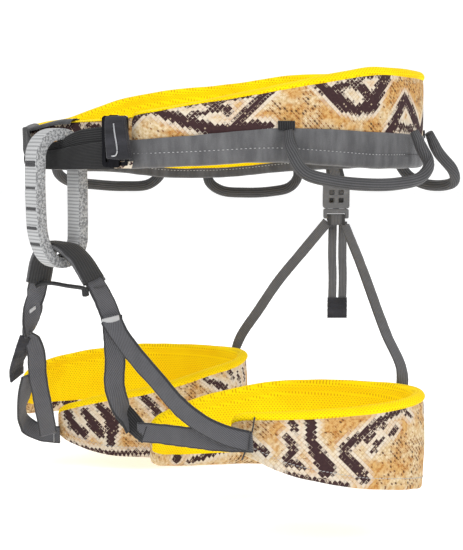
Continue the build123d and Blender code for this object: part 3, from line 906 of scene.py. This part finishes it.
light_row = stitches(
    "band_stitches_light", belt_row(-113, -30, 3.2, STITCH_ROW, 1.15), LIGHT_THREAD, 1.5, 0.24
)
dark_row = stitches(
    "band_stitches_dark", belt_row(-30, 178, 3.2, STITCH_ROW, 1.15), DARK_THREAD, 2.0, 0.26
)
low_row = stitches(
    "binding_stitches", belt_row(40, 178, 3.0, 5.2, -PAD - 1.7), LIGHT_THREAD, 1.6, 0.2
)
for row in (light_row, dark_row, low_row):
    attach(row, "waist_belt")


# The leg loops
LEG_END = 4.0             # degrees that a pad's soft end reaches past its front strap


def leg_pad(side, oval, edges, start, end, strokes, body):
    loop = pad(
        f"leg_{side}_pad", oval, edges, LEG_RIMS, start - LEG_END, end, round_mm=15.0, end_height=0.5
    )
    puff(loop, 1.8)
    loop = subdivide(loop)
    roughen(loop, 20, 0.6, 7.0 if side == "left" else 9.0)
    paint(loop, strokes)
    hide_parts(f"leg_{side}_shell", f"leg_{side}_foam", f"leg_{side}_lining")
    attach(loop, body)
    hem_places = []
    angles, lengths = arc_lengths(oval, start, end, no_dip, 0.5)
    for length in np.arange(3.0, lengths[-1] - 3, 2.6):
        angle = float(np.interp(length, lengths, angles))
        origin, normal = oval_point(oval, angle, 0.25)
        low = smooth_value(edges, angle, 1)
        along = np.array([-normal[1], normal[0], 0.0])
        hem_places.append((origin + np.array([0, 0, low + HEM]), along))
    hem = stitches(f"leg_{side}_hem_stitches", hem_places, LIGHT_THREAD, 1.9, 0.24)
    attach(hem, body)
    return loop


left_mm = deg_to_mm(LEFT_LEG, -108 - LEG_END)
m = left_mm
LEFT_STROKES = [
    [(m(-83), -183, 3.6), (m(-80), -192, 3.8), (m(-81), -202, 3.8), (m(-78), -212, 4.6), (m(-74), -224, 6.0)],
    [(m(-92), -184, 2.0), (m(-89), -186, 2.2)],
    [(m(-88), -190, 2.4), (m(-86), -197, 2.0)],
    [(m(-90), -201, 2.4), (m(-87), -209, 3.2), (m(-90), -218, 2.6), (m(-84), -222, 2.4)],
    [(m(-39), -187, 3.0), (m(-50), -191, 3.0), (m(-59), -201, 3.0), (m(-67), -209, 3.6)],
    [(m(-67), -209, 3.6), (m(-67), -215, 3.6), (m(-61), -225, 4.0), (m(-58), -232, 4.0)],
    [(m(-57), -205, 2.2), (m(-54), -202, 2.2)],
    [(m(-53), -209, 2.0), (m(-49), -206, 2.0)],
    [(m(-44), -203, 2.0), (m(-41), -199, 2.0)],
    [(m(-50), -197, 1.7), (m(-48), -195, 1.7)],
    [(m(-55), -214, 1.8), (m(-53), -212, 1.8)],
    [(m(-36), -184, 2.0), (m(-30), -193, 2.2)],
    [(m(-104), -206, 2.5), (m(-98), -212, 2.6)],
    [(m(-104), -220, 2.0), (m(-92), -226, 2.0), (m(-80), -231, 2.2), (m(-66), -236, 2.4)],
]
LEFT_ALL = LEFT_STROKES + repeated(LEFT_STROKES, 0.0, 2, mirror_at=m(-20))[len(LEFT_STROKES):]
LEFT_ALL += [[(u + 2 * m(-20), z, r) for u, z, r in s] for s in LEFT_ALL]
left_pad = leg_pad("left", LEFT_LEG, LEFT_LEG_EDGES, -108, 168, LEFT_ALL, "left_leg_loop")

right_mm = deg_to_mm(RIGHT_LEG, -125 - LEG_END)
r = right_mm
RIGHT_STROKES = [
    [(r(-122), -234, 4), (r(-118), -246, 5), (r(-112), -252, 4)],
    [(r(-112), -232, 4), (r(-108), -243, 5), (r(-104), -252, 4)],
    [(r(-105), -226, 3), (r(-100), -236, 5), (r(-98), -248, 5), (r(-99), -259, 4)],
    [(r(-96), -222, 5), (r(-92), -232, 4), (r(-97), -244, 4)],
    [(r(-84), -216, 3), (r(-80), -225, 3.5), (r(-76), -233, 4)],
    [(r(-50), -206, 3), (r(-42), -212, 3.5), (r(-36), -216, 3)],
    [(r(-32), -200, 2), (r(-28), -210, 1.6)],
    [(r(-24), -204, 1.4), (r(-20), -216, 1.4)],
    [(r(-16), -200, 1.4), (r(-13), -214, 1.4)],
    [(r(-120), -262, 2), (r(-100), -268, 2), (r(-70), -268, 2.4), (r(-50), -266, 2)],
]
RIGHT_ALL = RIGHT_STROKES + [
    [(2 * r(-10) - u, z + 12, w) for u, z, w in s] for s in RIGHT_STROKES
]
RIGHT_ALL += [[(u + 2 * r(-10), z + 14, w) for u, z, w in s] for s in RIGHT_ALL]
right_pad = leg_pad("right", RIGHT_LEG, RIGHT_LEG_EDGES, -125, 180, RIGHT_ALL, "right_leg_loop")

# ------------------------------------------------------------------ front webbing
WEBBING_EDGES = [
    (176, -6, 10), (190, -8, 9), (202, -17, 8.5), (212, -21, -2), (224, -21, -2), (230, -20.5, 6.5), (243, -20, 10),
]
WEBBING_OUT = [(176, -4.0), (188, -4.0), (200, -2.5), (208, 2.6), (227, 4.0), (242, 3.6)]
TAIL_EDGES = [(215, -22, -9), (224, -22, -8), (232, -21.5, -4), (242, -21, -1)]


def webbing_strip(name, start, end, edges, lift, thickness):
    angles = np.linspace(start, end, int((end - start) / 1.2) + 1)
    frames = []
    for angle in angles:
        origin, normal = oval_point(WAIST, angle, value_at(WEBBING_OUT, angle) + lift)
        frames.append((origin, np.array([0.0, 0.0, 1.0]), normal))

    def profile(i):
        low = smooth_value(edges, angles[i], 1, 3.0)
        high = smooth_value(edges, angles[i], 2, 3.0)
        middle, half = (low + high) / 2, (high - low) / 2
        section = flat_section(2 * half, thickness)
        return [(x + middle, y, x * 15 / half, m) for x, y, _, m in section]

    obj = sweep(name, frames, profile, [BLACK_WEBBING])
    roughen(obj, 9, 0.25, 3.0)
    return obj


front_webbing = webbing_strip("front_webbing", 177, 245, WEBBING_EDGES, 1.1, 2.2)
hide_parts("waist_webbing")
front_tail = webbing_strip("front_webbing_tail", 213, 244, TAIL_EDGES, 3.6, 2.4)
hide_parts("webbing_tail")
for obj in (front_webbing, front_tail):
    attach(obj, "waist_belt")

# Folded black cover over the buckle. Its free edge leans back at the top.
cover_low, cover_high = box_mm("buckle_cover")
cover_middle = (cover_low + cover_high) / 2
_, cover_out = oval_point(WAIST, 243.5)
cover_along = np.array([-cover_out[1], cover_out[0], 0.0])
cover_frames = []
for t in np.linspace(0, 1, 18):
    origin = cover_middle * np.array([1, 1, 0]) + np.array([0, 0, -14.5 + 31 * t])
    cover_frames.append((origin - cover_out * 1.4, cover_along, cover_out))


def cover_profile(i):
    """A flap whose left edge is upright and whose right edge slants."""
    t = i / 17
    end = math.sqrt(max(0.06, 1 - (2 * t - 1) ** 8))
    left, right = -10.2, 12.0 - 5.0 * t
    middle, half = (left + right) / 2, (right - left) / 2 * (0.94 + 0.06 * end)
    points = []
    for x, y, c, m in flat_section(2, 4.6 * end):
        step_up = 0.9 if x > -0.25 and y > 0 else 0.0
        points.append((middle + x * half, y + step_up, c * half, m))
    return points


buckle_fold = subdivide(sweep("buckle_fold", cover_frames, cover_profile, [BLACK_FABRIC]))
roughen(buckle_fold, 7, 0.4, 2.0)
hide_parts("buckle_cover")
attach(buckle_fold, "waist_buckle_cover")

# The buckle's wire keeper, which shows through the cover's slot
keeper_base = cover_middle * np.array([1, 1, 0]) + cover_out * 2.0
keeper_path = [
    keeper_base + cover_along * u + np.array([0, 0, z])
    for u, z in ((-1.6, 11), (-0.8, 4), (0.6, -4), (0.9, -9), (-0.4, -11.4), (-3.4, -11.8))
]
keeper = cord("buckle_keeper", keeper_path, 0.6, METAL, 40, 8)
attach(keeper, "waist_buckle_cover")

# A bit of printed fabric turned out under the cover
tuck_frames = []
for t in np.linspace(0, 1, 10):
    origin = cover_middle * np.array([1, 1, 0]) + np.array([0, 0, -20.5 + 5 * t])
    tuck_frames.append((origin - cover_out * (3.2 + 0.8 * t), cover_along, cover_out))
tuck = sweep("buckle_print_tuck", tuck_frames,
             lambda i: [(x + 3.0 + 0.1 * i, y, c, m) for x, y, c, m in flat_section(13, 1.6)],
             [PRINT])
paint(tuck, [[(0, -4, 0.5), (4, 2, 1.0)], [(1, 5, 0.5), (5, 6, 1.0)]])
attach(tuck, "waist_belt")


def keep_node(node, material, bevel_mm):
    """A CAD node that is already the right shape: a softened edge and its material."""
    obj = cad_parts[node]
    obj.data.materials.clear()
    obj.data.materials.append(material)
    modifier = obj.modifiers.new("edge", "BEVEL")
    modifier.width = bevel_mm * MM
    modifier.segments = 3
    modifier.limit_method = "ANGLE"
    modifier.harden_normals = False


for node in ("buckle_frame", "buckle_slider"):
    keep_node(node, DARK_METAL, 0.5)
for node in ("rear_buckle_socket", "rear_buckle_plug", "latch_arm_low_x", "latch_arm_high_x"):
    keep_node(node, GREY_PLASTIC, 0.45)

# ------------------------------------------------------------------ belay loop
BELAY_OUT = unit((-0.76, -0.65, 0.0))
BELAY_ALONG = unit((0.65, -0.76, 0.0))
BELAY_MIDDLE = np.array([-120.0, -83.0, -43.0])
BELAY_STRAIGHT = 51.0 - 21.7
BELAY_RADIUS = 21.7 - 4.0
UP = np.array([0.0, 0.0, 1.0])


BELAY_DROOP = 32.0        # height of the front limb's long lower curve


def belay_frames():
    """Up the back limb, over the top, down the front limb and its long curve."""
    points = []
    for t in np.linspace(-1, 1, 34, endpoint=False):
        points.append((-BELAY_RADIUS - 0.4 * (1 - t * t), t * BELAY_STRAIGHT))
    for a in np.linspace(180, 0, 24, endpoint=False):
        points.append((BELAY_RADIUS * math.cos(math.radians(a)),
                       BELAY_STRAIGHT + BELAY_RADIUS * math.sin(math.radians(a))))
    low = -BELAY_STRAIGHT - BELAY_RADIUS + BELAY_DROOP
    for t in np.linspace(0, 1, 26, endpoint=False):
        z = BELAY_STRAIGHT + t * (low - BELAY_STRAIGHT)
        points.append((BELAY_RADIUS + 0.6 * math.sin(math.pi * t), z))
    for a in np.linspace(0, 90, 22, endpoint=False):
        points.append((BELAY_RADIUS * math.cos(math.radians(a)),
                       low - BELAY_DROOP * math.sin(math.radians(a))))
    for a in np.linspace(90, 180, 12, endpoint=False):
        points.append((BELAY_RADIUS * math.cos(math.radians(a)),
                       -BELAY_STRAIGHT - BELAY_RADIUS * math.sin(math.radians(a))))
    frames = []
    for k, (u, z) in enumerate(points):
        before, after = points[k - 1], points[(k + 1) % len(points)]
        tangent = unit((after[0] - before[0], after[1] - before[1], 0))
        out = -BELAY_OUT * tangent[1] + UP * tangent[0]
        frames.append((BELAY_MIDDLE + BELAY_OUT * u + UP * z, BELAY_ALONG, out))
    return frames


def belay_profile(i):
    wave = 0.25 * noise.noise(Vector((i * 0.21, 4.0, 1.0)))
    points = []
    for x, y in ((-7.6, 4.0), (-5, 4.2), (0, 4.3), (5, 4.2), (7.6, 4.0), (8.1, 3.3), (7.8, 2.1),
                 (8.2, 1.2), (7.9, 0.0), (8.2, -1.2), (7.8, -2.1), (8.1, -3.3),
                 (7.6, -4.0), (5, -4.1), (0, -4.1), (-5, -4.1), (-7.6, -4.0), (-8.1, -3.3),
                 (-7.8, -2.1), (-8.2, -1.2), (-7.9, 0.0), (-8.2, 1.2), (-7.8, 2.1), (-8.1, 3.3)):
        points.append((x * (1 + wave * 0.04), -y + wave * 0.3, x, 0))
    return points


belay = sweep("belay_loop_webbing", belay_frames(), belay_profile, [BELAY], closed_path=True)
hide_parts("belay_loop")
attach(belay, "belay_loop_body")


def bar_tack(places, centre, along, up, length, height, threads):
    """Adds one bar tack: close threads running up, side by side along its length."""
    for k in range(threads):
        place = centre + unit(along) * (k / (threads - 1) - 0.5) * length
        places.append((place, unit(up) * height))
    return places


def tack_object(name, places, material, radius=0.42):
    verts_places = [(p, d) for p, d in places]
    length = float(np.linalg.norm(places[0][1]))
    obj = stitches(name, verts_places, material, length, radius)
    return obj


def belay_face(z):
    """Where the front limb's outer face is at a height, and the way down along it."""
    low = BELAY_MIDDLE[2] - BELAY_STRAIGHT - BELAY_RADIUS + BELAY_DROOP
    share = min(max((low - z) / BELAY_DROOP, 0.0), 0.97)
    u = BELAY_RADIUS * math.sqrt(1 - share * share) + 4.5
    slope = BELAY_RADIUS * share / math.sqrt(1 - share * share) / BELAY_DROOP
    place = BELAY_MIDDLE * np.array([1, 1, 0]) + BELAY_OUT * u + UP * z
    return place, unit(UP + BELAY_OUT * slope)


tacks = []
for z, height in ((-16.5, 1.2), (-18.5, 1.2), (-35, 1.0), (-50, 1.0), (-64, 1.0), (-76, 1.0)):
    face_place, face_way = belay_face(z)
    bar_tack(tacks, face_place, BELAY_ALONG, face_way, 12.0, height, 16)
belay_tacks = tack_object(
    "belay_tacks", [(p, unit(d) * 2.2) for p, d in tacks], DARK_THREAD, 0.42
)
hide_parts("belay_loop_tacks")
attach(belay_tacks, "belay_loop_body")

# ------------------------------------------------------------------ straps
def strap(name, path, across, width, thickness, material, body=None, blend=None,
          replaces=(), count=60, seed=1.0, bow=0.0):
    """A piece of webbing that rides on one body, or, when it runs between two, is baked in place."""
    obj = webbing(name, path, across, width, thickness, material, count, 0.35, seed, bow)
    if replaces:
        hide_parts(*replaces)
    if body:
        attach(obj, body)
    if blend:
        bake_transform(obj)
    return obj


X_AXIS = (1.0, 0.0, 0.0)
RADIAL = (-0.74, -0.67, 0.0)

# The bridge: webbing up from one leg loop, through the belay loop, down to the other
BRIDGE_PATH = [
    (-152, -20, -153), (-149, -28, -138), (-145, -35, -124), (-140, -47, -108),
    (-134, -62, -89), (-127.5, -74, -78.8), (-120, -83, -78), (-112.5, -91, -78.8),
    (-103, -94, -86), (-92, -99, -102), (-84, -103, -116), (-79, -106, -128),
    (-77, -107, -135),
]
BRIDGE_ACROSS = [
    (-0.2, -0.9, 0), (-0.9, -0.5, 0), (-0.7, 0.5, 0), (-0.9, -0.3, 0), (-0.9, -0.4, 0), RADIAL,
    RADIAL, RADIAL, RADIAL, (-0.85, -0.5, 0), (-0.9, -0.42, 0), (-0.97, -0.25, 0), (-1.0, -0.1, 0.0),
]
strap(
    "bridge_strap", BRIDGE_PATH, BRIDGE_ACROSS, 15.0, 2.2, LEG_WEBBING,
    body="waist_belt", replaces=("bridge_webbing",), count=120, seed=11.0,
)
SLEEVE_PATH = BRIDGE_PATH[3:10]
sleeve_across = BRIDGE_ACROSS[3:10]
strap(
    "bridge_sleeve_cover", SLEEVE_PATH, sleeve_across, 17.5, 4.6, SLEEVE_FABRIC,
    body="waist_belt", replaces=("bridge_sleeve",), count=70, seed=12.0, bow=0.5,
)
# piping sewn along both edges of the sleeve
for side, edge in (("inner", -1), ("outer", 1)):
    edge_path = [
        tuple(np.array(p) + unit(a) * edge * 8.6) for p, a in zip(SLEEVE_PATH, sleeve_across)
    ]
    piping = cord(f"sleeve_piping_{side}", edge_path, 1.3, RISER_WEBBING, 60, 8)
    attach(piping, "waist_belt")
elastic = cord(
    "bridge_elastic_cord",
    [(-142, -50, -112), (-139, -50, -110.5), (-130, -58, -108.5), (-114, -76, -108.5),
     (-100, -95, -108), (-96, -103, -108.5)],
    1.6, SLEEVE_FABRIC, 40, 10,
)
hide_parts("bridge_elastic")
knob = cord(
    "elastic_knob",
    [(-98, -104, -107), (-97.5, -104.5, -110), (-97, -104.5, -113)], 2.6, SLEEVE_FABRIC, 14, 10,
    taper=0.7,
)
for obj in (elastic, knob):
    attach(obj, "waist_belt")

# Near leg loop: the webbing splits into a strap down and a strap across
LEFT_TOP, LEFT_LOW = (-78, -107, -128), (-74, -110, -168)
strap(
    "leg_left_strap_front",
    [(-78, -108.5, -126), (-77, -110, -140), (-76, -110, -159), (-77, -107, -177),
     (-74, -104, -191), (-70, -99, -202), (-65, -97, -211)],
    [X_AXIS, X_AXIS, X_AXIS, X_AXIS, (0.85, 0.5, 0), (0.5, 0.85, 0), (0.3, 0.6, 0.7)],
    15.0, 1.8, LEG_WEBBING, blend=("waist_belt", "left_leg_loop", LEFT_TOP, LEFT_LOW),
    replaces=("strap_left_front",), seed=2.0,
)
strap(
    "leg_left_strap_side",
    [(-79, -111.5, -128), (-71, -118, -140), (-59, -129, -153), (-43, -143, -168),
     (-27, -157, -183), (-10, -169, -193), (5, -177.5, -198), (19, -182.5, -200.5)],
    [(0.9, 0.1, 0.1), (0.75, -0.3, 0.7), (0.5, -0.3, 1), (0.35, -0.3, 1), (0.3, -0.3, 1),
     (0.15, -0.3, 1), (0, -0.2, 1), (0, -0.1, 1)],
    15.0, 1.8, LEG_WEBBING, blend=("waist_belt", "left_leg_loop", LEFT_TOP, LEFT_LOW),
    replaces=("strap_left_side",), seed=4.0,
)
strap(
    "leg_left_fold",
    [(-72, -98, -199), (-67, -98, -205), (-61, -102, -210), (-55, -108, -214)],
    [(0.5, 0.3, 0.6), (0.5, 0.2, 0.8), (0.2, 0.1, 1), (0, 0, 1)],
    14.5, 1.6, BLACK_WEBBING, body="left_leg_loop", seed=8.0,
)
strap(
    "leg_left_strap_hem",
    [(-60, -103, -213), (-43, -119.5, -210.5), (-21, -145, -207), (0, -167, -204),
     (10, -174.5, -202.5), (22, -180.5, -201.5)],
    [(0, 0, 1)] * 6,
    14.6, 1.8, LEG_WEBBING, body="left_leg_loop",
    replaces=("strap_left_hem",), seed=3.0,
)

# Far leg loop: the webbing twists, then splits the same way
RIGHT_TOP, RIGHT_LOW = (-152, -20, -150), (-149, 5, -195)
strap(
    "leg_right_strap_side",
    [(-153, -22, -150), (-151, -18, -157), (-148.5, -12, -169), (-149, -2, -190),
     (-148, 12, -213), (-147.5, 30, -236), (-147.5, 40, -249)],
    [(0.5, -0.8, 0), (0.9, -0.4, 0.3), (1, 0, 0.1), X_AXIS, X_AXIS, (0.95, 0.3, 0), (0.9, 0.4, 0)],
    15.0, 1.8, LEG_WEBBING,
    blend=("waist_belt", "right_leg_loop", RIGHT_TOP, RIGHT_LOW),
    replaces=("strap_right_side",), seed=5.0,
)
strap(
    "leg_right_flap",
    [(-153, -19, -156), (-159, -12, -168), (-166, -1, -182), (-168, 10, -194)],
    [(0.95, 0.2, 0.1), (0.85, 0.3, 0.4), (0.75, 0.3, 0.75), (0.7, 0.3, 0.85)],
    14.5, 1.8, BLACK_FABRIC,
    blend=("waist_belt", "right_leg_loop", RIGHT_TOP, RIGHT_LOW),
    replaces=("strap_right_front",), seed=6.0,
)
strap(
    "leg_right_strap_front",
    [(-156, 0, -190), (-161, 12, -203), (-167, 34, -220), (-172, 55, -236), (-170, 66, -247),
     (-160, 66, -253), (-150, 62, -254), (-140.5, 59.4, -254)],
    [(0.8, 0.4, 0.4), (0.75, 0.5, 0.4), (0.6, 0.5, 0.6), (0.3, 0.4, 0.9), (0.1, 0.2, 1),
     (0, 0, 1), (0, 0, 1), (0, 0, 1)],
    15.0, 1.8, LEG_WEBBING, body="right_leg_loop",
    replaces=("strap_right_hem",), seed=7.0,
)


# The sewn edge of the near pad's end panel
seam_path = []
for angle, z in ((-102, -187), (-103, -197), (-105, -208), (-107, -217)):
    point, _ = oval_point(LEFT_LEG, angle, 0.9)
    seam_path.append(tuple(point + np.array([0, 0, z])))
seam = cord("leg_left_end_seam", seam_path, 0.55, DARK_THREAD, 30, 6)
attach(seam, "left_leg_loop")


# Bar tacks and sewn lines on the straps
def tack_row(name, centre, along, up, length, height, threads, material, body, radius=0.42):
    places = bar_tack([], np.array(centre, float), along, up, length, height, threads)
    obj = tack_object(name, places, material, radius)
    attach(obj, body)
    return obj


tack_row("bridge_bar_tack", (-78.5, -113.4, -129), (1, 0, 0.24), (-0.1, 0, 1), 12.0, 5.0, 20,
         LIGHT_THREAD, "waist_belt")
tack_row("bridge_side_tack", (-147, -34, -132), (0.8, 0.2, 0.6), (0, 0, 1), 5.0, 3.0, 9,
         LIGHT_THREAD, "waist_belt")
tack_row("sleeve_end_tack", (-89.5, -102.5, -106.5), (-0.95, -0.25, -0.2), (0.2, 0, 1), 13.0, 1.6,
         14, DARK_THREAD, "waist_belt")
for k, x in enumerate((13.0, 16.0)):
    tack_row(f"leg_left_end_tack_{k}", (x, -180.4 - 0.6 * k, -201), (0, 0, 1), (0.05, 0, 1), 11.0,
             2.0, 7, DARK_THREAD, "left_leg_loop", 0.3)
tack_row("leg_right_end_tack", (-145.5, 59.2, -254), (0, 0, 1), (0.05, 0, 1), 11.0, 2.0, 7,
         LIGHT_THREAD, "right_leg_loop", 0.3)

# ------------------------------------------------------------------ rear risers
RISER_WIDTH = 9.0
strap(
    "riser_right_strap",
    [(92, 94, -72), (72, 105, -98), (50, 118, -127), (32, 131, -156), (17, 141, -180),
     (11, 143.2, -195), (6.3, 142.8, -208)],
    [(0.8, 0, -0.6)] * 5 + [(0.7, -0.7, 0)] * 2,
    RISER_WIDTH, 1.7, RISER_WEBBING, replaces=("riser_right",),
    blend=("waist_belt", "right_leg_loop", (92, 94, -72), (17, 141, -180)),
)
strap(
    "riser_left_strap",
    [(107, 94, -74), (116, 40, -104), (128, -40, -150), (136, -74, -173), (135.6, -75.6, -190),
     (131.8, -77.4, -206)],
    [(0.8, 0.4, 0)] * 4 + [(0.7, -0.7, 0)] * 2,
    RISER_WIDTH, 1.7, RISER_WEBBING, replaces=("riser_left",),
    blend=("waist_belt", "left_leg_loop", (107, 94, -74), (134, -66, -169)),
)
tail_pieces = []
for x in (97.2, 106.2):
    tail_pieces.append(strap(
        f"riser_tail_{'a' if x < 100 else 'b'}",
        [(x, 99.5, -72), (x - 0.3, 99.8, -100), (x + 0.2, 99.2, -122), (x, 99.5, -141)],
        [X_AXIS] * 4, 7.4, 1.5, RISER_WEBBING, body="riser_tail_body",
        replaces=("riser_tails",) if x < 100 else (),
    ))
strap(
    "tail_tab_fabric",
    [(101.7, 99.5, -139.5), (101.7, 99.6, -146), (101.7, 99.4, -152), (101.7, 99.5, -157.5)],
    [X_AXIS] * 4, 17.5, 3.6, BLACK_FABRIC, body="riser_tail_body",
    replaces=("tail_tab",),
)
strap(
    "rear_strap_webbing",
    [(96.5, 87, -23), (97.5, 89.5, -27), (98.8, 93, -32), (99.4, 94.8, -35.5), (99.5, 95, -37.2)],
    [(0.86, -0.5, 0), (0.9, -0.4, 0), (0.97, -0.2, 0), X_AXIS, X_AXIS],
    15.4, 1.9, RISER_WEBBING, replaces=("rear_strap",),
    blend=("waist_belt", "rear_buckle_socket_body", (97.5, 89.5, -27), (99.4, 94.8, -35.5)),
)
# the risers' common fold, through the plug's slot and round its lower bar
strap(
    "riser_fold",
    [(99.5, 91.0, -74.5), (99.5, 90.9, -69), (99.5, 92.4, -66.1), (99.5, 95, -65.8),
     (99.5, 97.6, -66.1), (99.5, 99.1, -69), (99.5, 99.1, -71.2)],
    [X_AXIS] * 7, 15.4, 1.3, RISER_WEBBING, body="waist_belt",
)


# ------------------------------------------------------------------ gear loops
def belt_side(angle, height, out=0.0):
    point, normal = oval_point(WAIST, angle, CORD_STANDOFF + out)
    return tuple(point + np.array([0, 0, height]))


CORD_STANDOFF = 7.0
GEAR_LOOPS = {
    "left_front": ("a", 4.6, -73, 6, -29, 6, [
        (51, -120, -10), (59, -121, -23), (78, -120, -29), (103, -111, -32), (127, -97, -32),
        (147, -79, -28), (155, -65, -18), (150, -60, -6),
    ]),
    "left_rear": ("b", 4.6, 2, 5, 28, 4, [
        (174, 10, -10), (187, 14, -25), (190, 24, -34), (183, 38, -38), (169, 52, -37),
        (156, 61, -29), (148, 64, -14),
    ]),
    "right_front": ("c", 4.6, 144, 4, 108, 2, [
        (-142, 79, -14), (-143, 88, -28), (-134, 103, -37), (-116, 119, -40), (-90, 129, -42),
        (-66, 129, -40), (-54, 124, -28),
    ]),
    "right_rear": ("d", 4.6, 95, 2, 66, 2, [
        (-14, 125, -20), (-12, 129, -38), (-1, 132, -46), (20, 133, -48), (43, 132, -47),
        (60, 128, -43), (67, 122, -34), (66, 116, -18),
    ]),
}
for name, (letter, radius, a0, z0, a1, z1, middle) in GEAR_LOOPS.items():
    path = [belt_side(a0, z0)] + middle + [belt_side(a1, z1)]
    loop = cord(f"gear_loop_{name}_cord", path, radius, CORD_SLEEVE, 110, 16, taper=0.25)
    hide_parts(f"gear_loop_{name}")
    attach(loop, f"gear_loop_{letter}")

for name, (letter, radius, a0, z0, a1, z1, middle) in GEAR_LOOPS.items():
    points, across = [], []
    top = smooth_value(WAIST_EDGES, a0, 1) + value_at(BAND_HEIGHT, a0)
    for z, out in ((-1.0, 2.2), (1.5, 2.0), (3.0, 1.9), (5.2, 1.8)):
        point, normal = oval_point(WAIST, a0, out)
        points.append(point + np.array([0, 0, top + z]))
        across.append(np.array([-normal[1], normal[0], 0.0]))
    tab = webbing(f"gear_tab_{name}", points, across, 12.5, 1.6, BLACK_WEBBING, 12)
    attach(tab, "waist_belt")
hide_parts("gear_loop_tabs")


# ------------------------------------------------------------------ floor, light, camera
def plain_surface(name, tone, roughness=0.9):
    material = bpy.data.materials.new(name)
    material.use_nodes = True
    surface = material.node_tree.nodes["Principled BSDF"]
    surface.inputs["Base Color"].default_value = srgb(*tone)
    surface.inputs["Roughness"].default_value = roughness
    surface.inputs["Emission Color"].default_value = (1.0, 1.0, 1.0, 1.0)
    surface.inputs["Emission Strength"].default_value = 0.4
    return material


def floor():
    size, height = 6.0, bounds_before[0][2] - 0.012
    verts = [(-size, -size, height), (size, -size, height), (size, size, height), (-size, size, height)]
    mesh = bpy.data.meshes.new("floor")
    mesh.from_pydata(verts, [], [(0, 1, 2, 3)])
    mesh.materials.append(plain_surface("floor_white", (250, 250, 250)))
    obj = bpy.data.objects.new("floor", mesh)
    bpy.context.scene.collection.objects.link(obj)
    return obj


def area_light(name, place, target, size, watts):
    light = bpy.data.lights.new(name, "AREA")
    light.shape = "DISK"
    light.size = size
    light.energy = watts
    obj = bpy.data.objects.new(name, light)
    obj.location = place
    obj.rotation_euler = (Vector(target) - Vector(place)).to_track_quat("-Z", "Y").to_euler()
    bpy.context.scene.collection.objects.link(obj)
    return obj


CENTRE = (0.0, 0.0, -0.1)
stage = [
    floor(),
    area_light("key_light", (-0.9, -1.5, 1.6), CENTRE, 1.4, 24.0),
    area_light("fill_light", (1.4, -1.1, 0.9), CENTRE, 1.6, 12.0),
    area_light("back_light", (0.2, 1.6, 1.3), CENTRE, 1.6, 12.0),
]

camera_data = bpy.data.cameras.new("camera")
camera_data.sensor_fit = "HORIZONTAL"
camera_data.sensor_width = 36.0
camera_data.lens = 36.0 * 1250.0 / 463.0
camera = bpy.data.objects.new("camera", camera_data)
camera.location = (0.008, -1.0, 0.0)
camera.rotation_euler = (math.radians(90.0 - 6.2), 0.0, 0.0)
bpy.context.scene.collection.objects.link(camera)
bpy.context.scene.camera = camera
stage.append(camera)

world = bpy.data.worlds.new("studio")
world.use_nodes = True
background = world.node_tree.nodes["Background"]
background.inputs["Color"].default_value = (1.0, 1.0, 1.0, 1.0)
seen = world.node_tree.nodes.new("ShaderNodeLightPath").outputs["Is Camera Ray"]
strength = world.node_tree.nodes.new("ShaderNodeMapRange")
strength.inputs["To Min"].default_value = 0.62
strength.inputs["To Max"].default_value = 1.15
world.node_tree.links.new(seen, strength.inputs["Value"])
world.node_tree.links.new(strength.outputs["Result"], background.inputs["Strength"])
bpy.context.scene.world = world
bpy.context.scene.view_settings.view_transform = "Standard"
